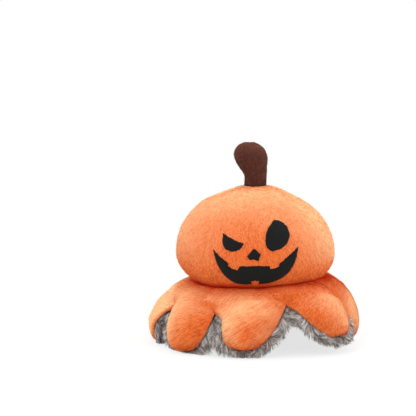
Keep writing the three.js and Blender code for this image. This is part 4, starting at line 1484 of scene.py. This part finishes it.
def add_leg(leg, index):
    """Plush and fur of one leg and its share of the ring; gives back both sheets."""
    name = leg.name
    sheet = plush_sheets[name]
    azimuth = np.arctan2(sheet[..., 0], -sheet[..., 1])
    from_head = np.linalg.norm(sheet[..., :2], axis=-1) - crease_radius(azimuth)
    # Painted light: painted sheen that grows out from the crease, stronger on some legs and sides
    pale = between(*LEG_SHEENS.get(name, NAP_SHEEN), (1 + leg.across[::-1]) / 2)
    pale = between(RING_SHEEN, pale, fade(from_head, *LEG_SHEEN_START))
    # Painted shade under the head's edge, reaching further on the right, and along the folds
    shade_reach = HEAD_SHADE + HEAD_SHADE_TILT * np.sin(azimuth)
    painted_light = pale * fade(from_head, HEAD_SHADE_START, shade_reach) * (1 - fold_shades[name])
    cover = (from_head > 0).astype(float)
    for piece in add_plush(
        f"{name}_leg", sheet, LEG_PLUSH, (orange_plush, orange_pile), LEG_PILE,
        painted_light, cover, LEG_SEED + index, NAP_TURN,
    ):
        dress(piece, [f"{name}_leg_cover", "skirt_cover"])
        leg.bend(piece)
    under = leg.fur_sheet()
    hem = fade(np.linspace(0, 1, LEG_ROWS), *FULL_FUR)[:, None]
    cover = between(INNER_FUR, 1, hem) + np.zeros(LEG_COLUMNS)
    painted_light = np.ones(cover.shape)
    comb = comb_from_hem(under)
    for piece in add_fur(f"{name}_leg", under, comb, LEG_FUR, painted_light, cover, LEG_FUR_SEED + index):
        dress(piece, [f"{name}_leg_lining", "skirt_lining"])
        leg.bend(piece)
    return sheet[:, ::-1], under


# Padding: the plush as cloth that is held at its seams and filled from inside


def picks_along(lengths):
    """Places of the points that the filled cloth keeps, about FILL_STEP apart, and where they all lie."""
    place = np.concatenate([[0], np.cumsum(lengths)])
    count = max(5, round(place[-1] / FILL_STEP))
    return np.unique(np.searchsorted(place, np.linspace(0, place[-1], count) - 1e-6)), place


def start_cloth(name, sheet, pressure, room, stretch, bend):
    """A coarse cloth of a sheet, a little smaller, with its edges held and pressure inside."""
    down = picks_along(np.linalg.norm(np.diff(sheet, axis=0), axis=-1).mean(1))
    over = picks_along(np.linalg.norm(np.diff(sheet, axis=1), axis=-1).mean(0))
    rows, columns = down[0], over[0]
    coarse = (sheet - sheet_normals(sheet) * room)[np.ix_(rows, columns)]
    coarse[[0, -1]] = sheet[np.ix_(rows[[0, -1]], columns)]
    coarse[:, [0, -1]] = sheet[np.ix_(rows, columns[[0, -1]])]
    cloth = new_object(f"{name}_cloth", coarse.reshape(-1, 3), sheet_faces(*coarse.shape[:2]), orange_plush)
    number = np.arange(len(rows) * len(columns)).reshape(len(rows), len(columns))
    edge = np.unique(np.concatenate([number[0], number[-1], number[:, 0], number[:, -1]]))
    cloth.vertex_groups.new(name="seams").add(edge.tolist(), 1.0, "REPLACE")
    fill = cloth.modifiers.new("fill", "CLOTH")
    fill.settings.vertex_group_mass = "seams"
    fill.settings.mass = FILL_MASS
    fill.settings.air_damping = FILL_DRAG
    fill.settings.use_pressure = True
    fill.settings.uniform_pressure_force = pressure
    for way in ("tension", "compression", "shear"):
        setattr(fill.settings, f"{way}_stiffness", stretch)
    fill.settings.bending_stiffness = bend
    fill.settings.effector_weights.gravity = 0
    fill.collision_settings.use_collision = False
    return cloth, down, over


def spread_moves(moves, rows, columns):
    """The moves of a coarse cloth's points, spread over all the points of its sheet."""
    full = moves
    for axis, (picks, place) in ((1, columns), (0, rows)):
        full = np.apply_along_axis(lambda line: np.interp(place, place[picks], line), axis, full)
    for _ in range(FILL_SMOOTHING):
        full[1:-1] = (full[:-2] + 2 * full[1:-1] + full[2:]) / 4
        full[:, 1:-1] = (full[:, :-2] + 2 * full[:, 1:-1] + full[:, 2:]) / 4
    return full


def fill_sheets(sheets):
    """The sheets after they are filled."""
    cloths = {name: start_cloth(name, sheet, *fill) for name, (sheet, fill) in sheets.items()}
    scene = bpy.context.scene
    for step in range(1, FILL_FRAMES + 1):
        scene.frame_set(step)
    graph = bpy.context.evaluated_depsgraph_get()
    filled = {}
    for name, (cloth, rows, columns) in cloths.items():
        shape = (len(rows[0]), len(columns[0]), 3)
        now = np.array([v.co for v in cloth.evaluated_get(graph).data.vertices]).reshape(shape) / MM
        sheet = sheets[name][0]
        moves = now - sheet[np.ix_(rows[0], columns[0])]
        far = np.linalg.norm(moves, axis=-1, keepdims=True)
        moves *= np.minimum(1, FILL_CAP / np.maximum(far, 1e-9))
        sheet = sheet + spread_moves(moves, rows, columns)
        sheet[..., 2] = over_floor(sheet[..., 2])
        filled[name] = sheet
    for cloth, _, _ in cloths.values():
        remove_object(cloth)
    scene.frame_set(1)
    return filled


legs = [Leg(index) for index in range(len(LEGS))]
# Painted shade along the fold up from each notch, for each leg
fold_shades = {leg.name: leg.plush_sheet()[1] for leg in legs}
plush_sheets = fill_sheets({
    **{f"head_{name}": (head_sheet(side), HEAD_FILL) for name, side in SIDES.items()},
    **{f"stem_{name}": (stem_sheet(side)[CROWN_ROWS:], STEM_FILL) for name, side in SIDES.items()},
    **{leg.name: (leg.soft_sheet(), LEG_FILL) for leg in legs},
})

add_head()
add_pocket()
add_stem()
leg_sheets = [add_leg(leg, index) for index, leg in enumerate(legs)]


# Wadding and squeaker, inside


def finish_wadding(wad, node, body=None):
    dress(wad, [node], body)


def wad_of_loops(name, loops, ring, keep):
    """A wad whose cross-sections are loops of points drawn in towards their middles."""
    middle = loops.mean(1, keepdims=True)
    points = middle + (loops - middle) * keep
    points = points + (points - middle) * uneven(points, LOOP_LUMPS)[..., None]
    count, around = points.shape[:2]
    faces = []
    for k in range(count if ring else count - 1):
        for c in range(around):
            a, b = k * around, (k + 1) % count * around
            d = (c + 1) % around
            faces.append((a + c, a + d, b + d, b + c))
    if not ring:
        faces.append(tuple(range(around)))
        faces.append(tuple(range((count - 1) * around, count * around))[::-1])
    return tidy_mesh(new_object(name, points.reshape(-1, 3), faces, wadding))


def add_leg_wadding(leg, plush, fur):
    """A wad between the plush and the fur of one leg, past its root."""
    rows = range(LEG_ROOT_ROW, LEG_ROWS - TIP_ROWS, 2)
    loops = np.array([np.concatenate([plush[r], fur[r, ::-1]]) for r in rows])
    wad = wad_of_loops(f"{leg.name}_leg_wadding", loops, False, LEG_WAD)
    finish_wadding(wad, f"{leg.name}_leg_stuffing")
    leg.bend(wad)


def add_ring_wadding():
    """A wad all round, between the plush and the fur of the skirt's ring."""
    rows = slice(EDGE_ROWS, LEG_ROOT_ROW - EDGE_ROWS)
    back = slice(LEG_ROOT_ROW - EDGE_ROWS, EDGE_ROWS - 1, -1)
    loops = []
    for plush, fur in leg_sheets:
        for c in range(0, LEG_COLUMNS - 1, 3):
            loops.append(np.concatenate([plush[rows, c], fur[back, c]]))
    wad = wad_of_loops("skirt_wadding", np.array(loops), True, RING_WAD)
    finish_wadding(wad, "skirt_stuffing", "skirt")


def add_wadding(node, body, depth):
    """Loose fibre in the place of a solid wad, sunk to about that depth."""
    edit = bmesh.new()
    edit.from_mesh(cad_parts[node].data)
    bmesh.ops.remove_doubles(edit, verts=edit.verts, dist=NO_LENGTH)
    bmesh.ops.subdivide_edges(edit, edges=edit.edges, cuts=1, use_grid_fill=True)
    axes = {f"use_axis_{axis}": True for axis in "xyz"}
    bmesh.ops.smooth_vert(edit, verts=edit.verts, factor=0.3, **axes)
    edit.normal_update()
    places = np.array([v.co for v in edit.verts]) / MM
    for vertex, sink in zip(edit.verts, depth + uneven(places, WAD_LUMPS)):
        vertex.co -= vertex.normal * float(sink) * MM
    mesh = bpy.data.meshes.new(node.replace("stuffing", "wadding"))
    edit.to_mesh(mesh)
    edit.free()
    smooth(mesh)
    mesh.materials.append(wadding)
    finish_wadding(show(mesh.name, mesh), node, body)


add_wadding("head_front_stuffing", "head", HEAD_WAD_DEPTH)
add_wadding("head_back_stuffing", "head", HEAD_WAD_DEPTH)
add_wadding("stem_stuffing", "stem", STEM_WAD_DEPTH)
add_ring_wadding()
for leg, sheets in zip(legs, leg_sheets):
    add_leg_wadding(leg, *sheets)


def add_squeaker():
    for node, material in (
        ("squeaker_base", shell_plastic), ("squeaker_cap", shell_plastic), ("squeaker_reed", reed_plastic)
    ):
        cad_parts[node].data.materials.clear()
        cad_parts[node].data.materials.append(material)
    low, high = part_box("squeaker_bellows")
    rows, columns = BELLOWS_FACETS
    turn = np.linspace(0, 2 * math.pi, columns)
    share = np.linspace(0, 1, rows)[:, None]
    outer = BELLOWS_RADIUS + PLEAT_DEPTH * np.cos(share * PLEATS * 2 * math.pi)
    height = low.z / MM + share * (high.z - low.z) / MM
    wall = np.stack([outer * np.sin(turn), -outer * np.cos(turn), height + 0 * turn], -1)[::-1, ::-1]
    bellows = cloth_shell("squeaker_bellows_wall", wall, BELLOWS_WALL, shell_plastic)
    dress(bellows, ["squeaker_bellows"], "head")
    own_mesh(bellows)


add_squeaker()
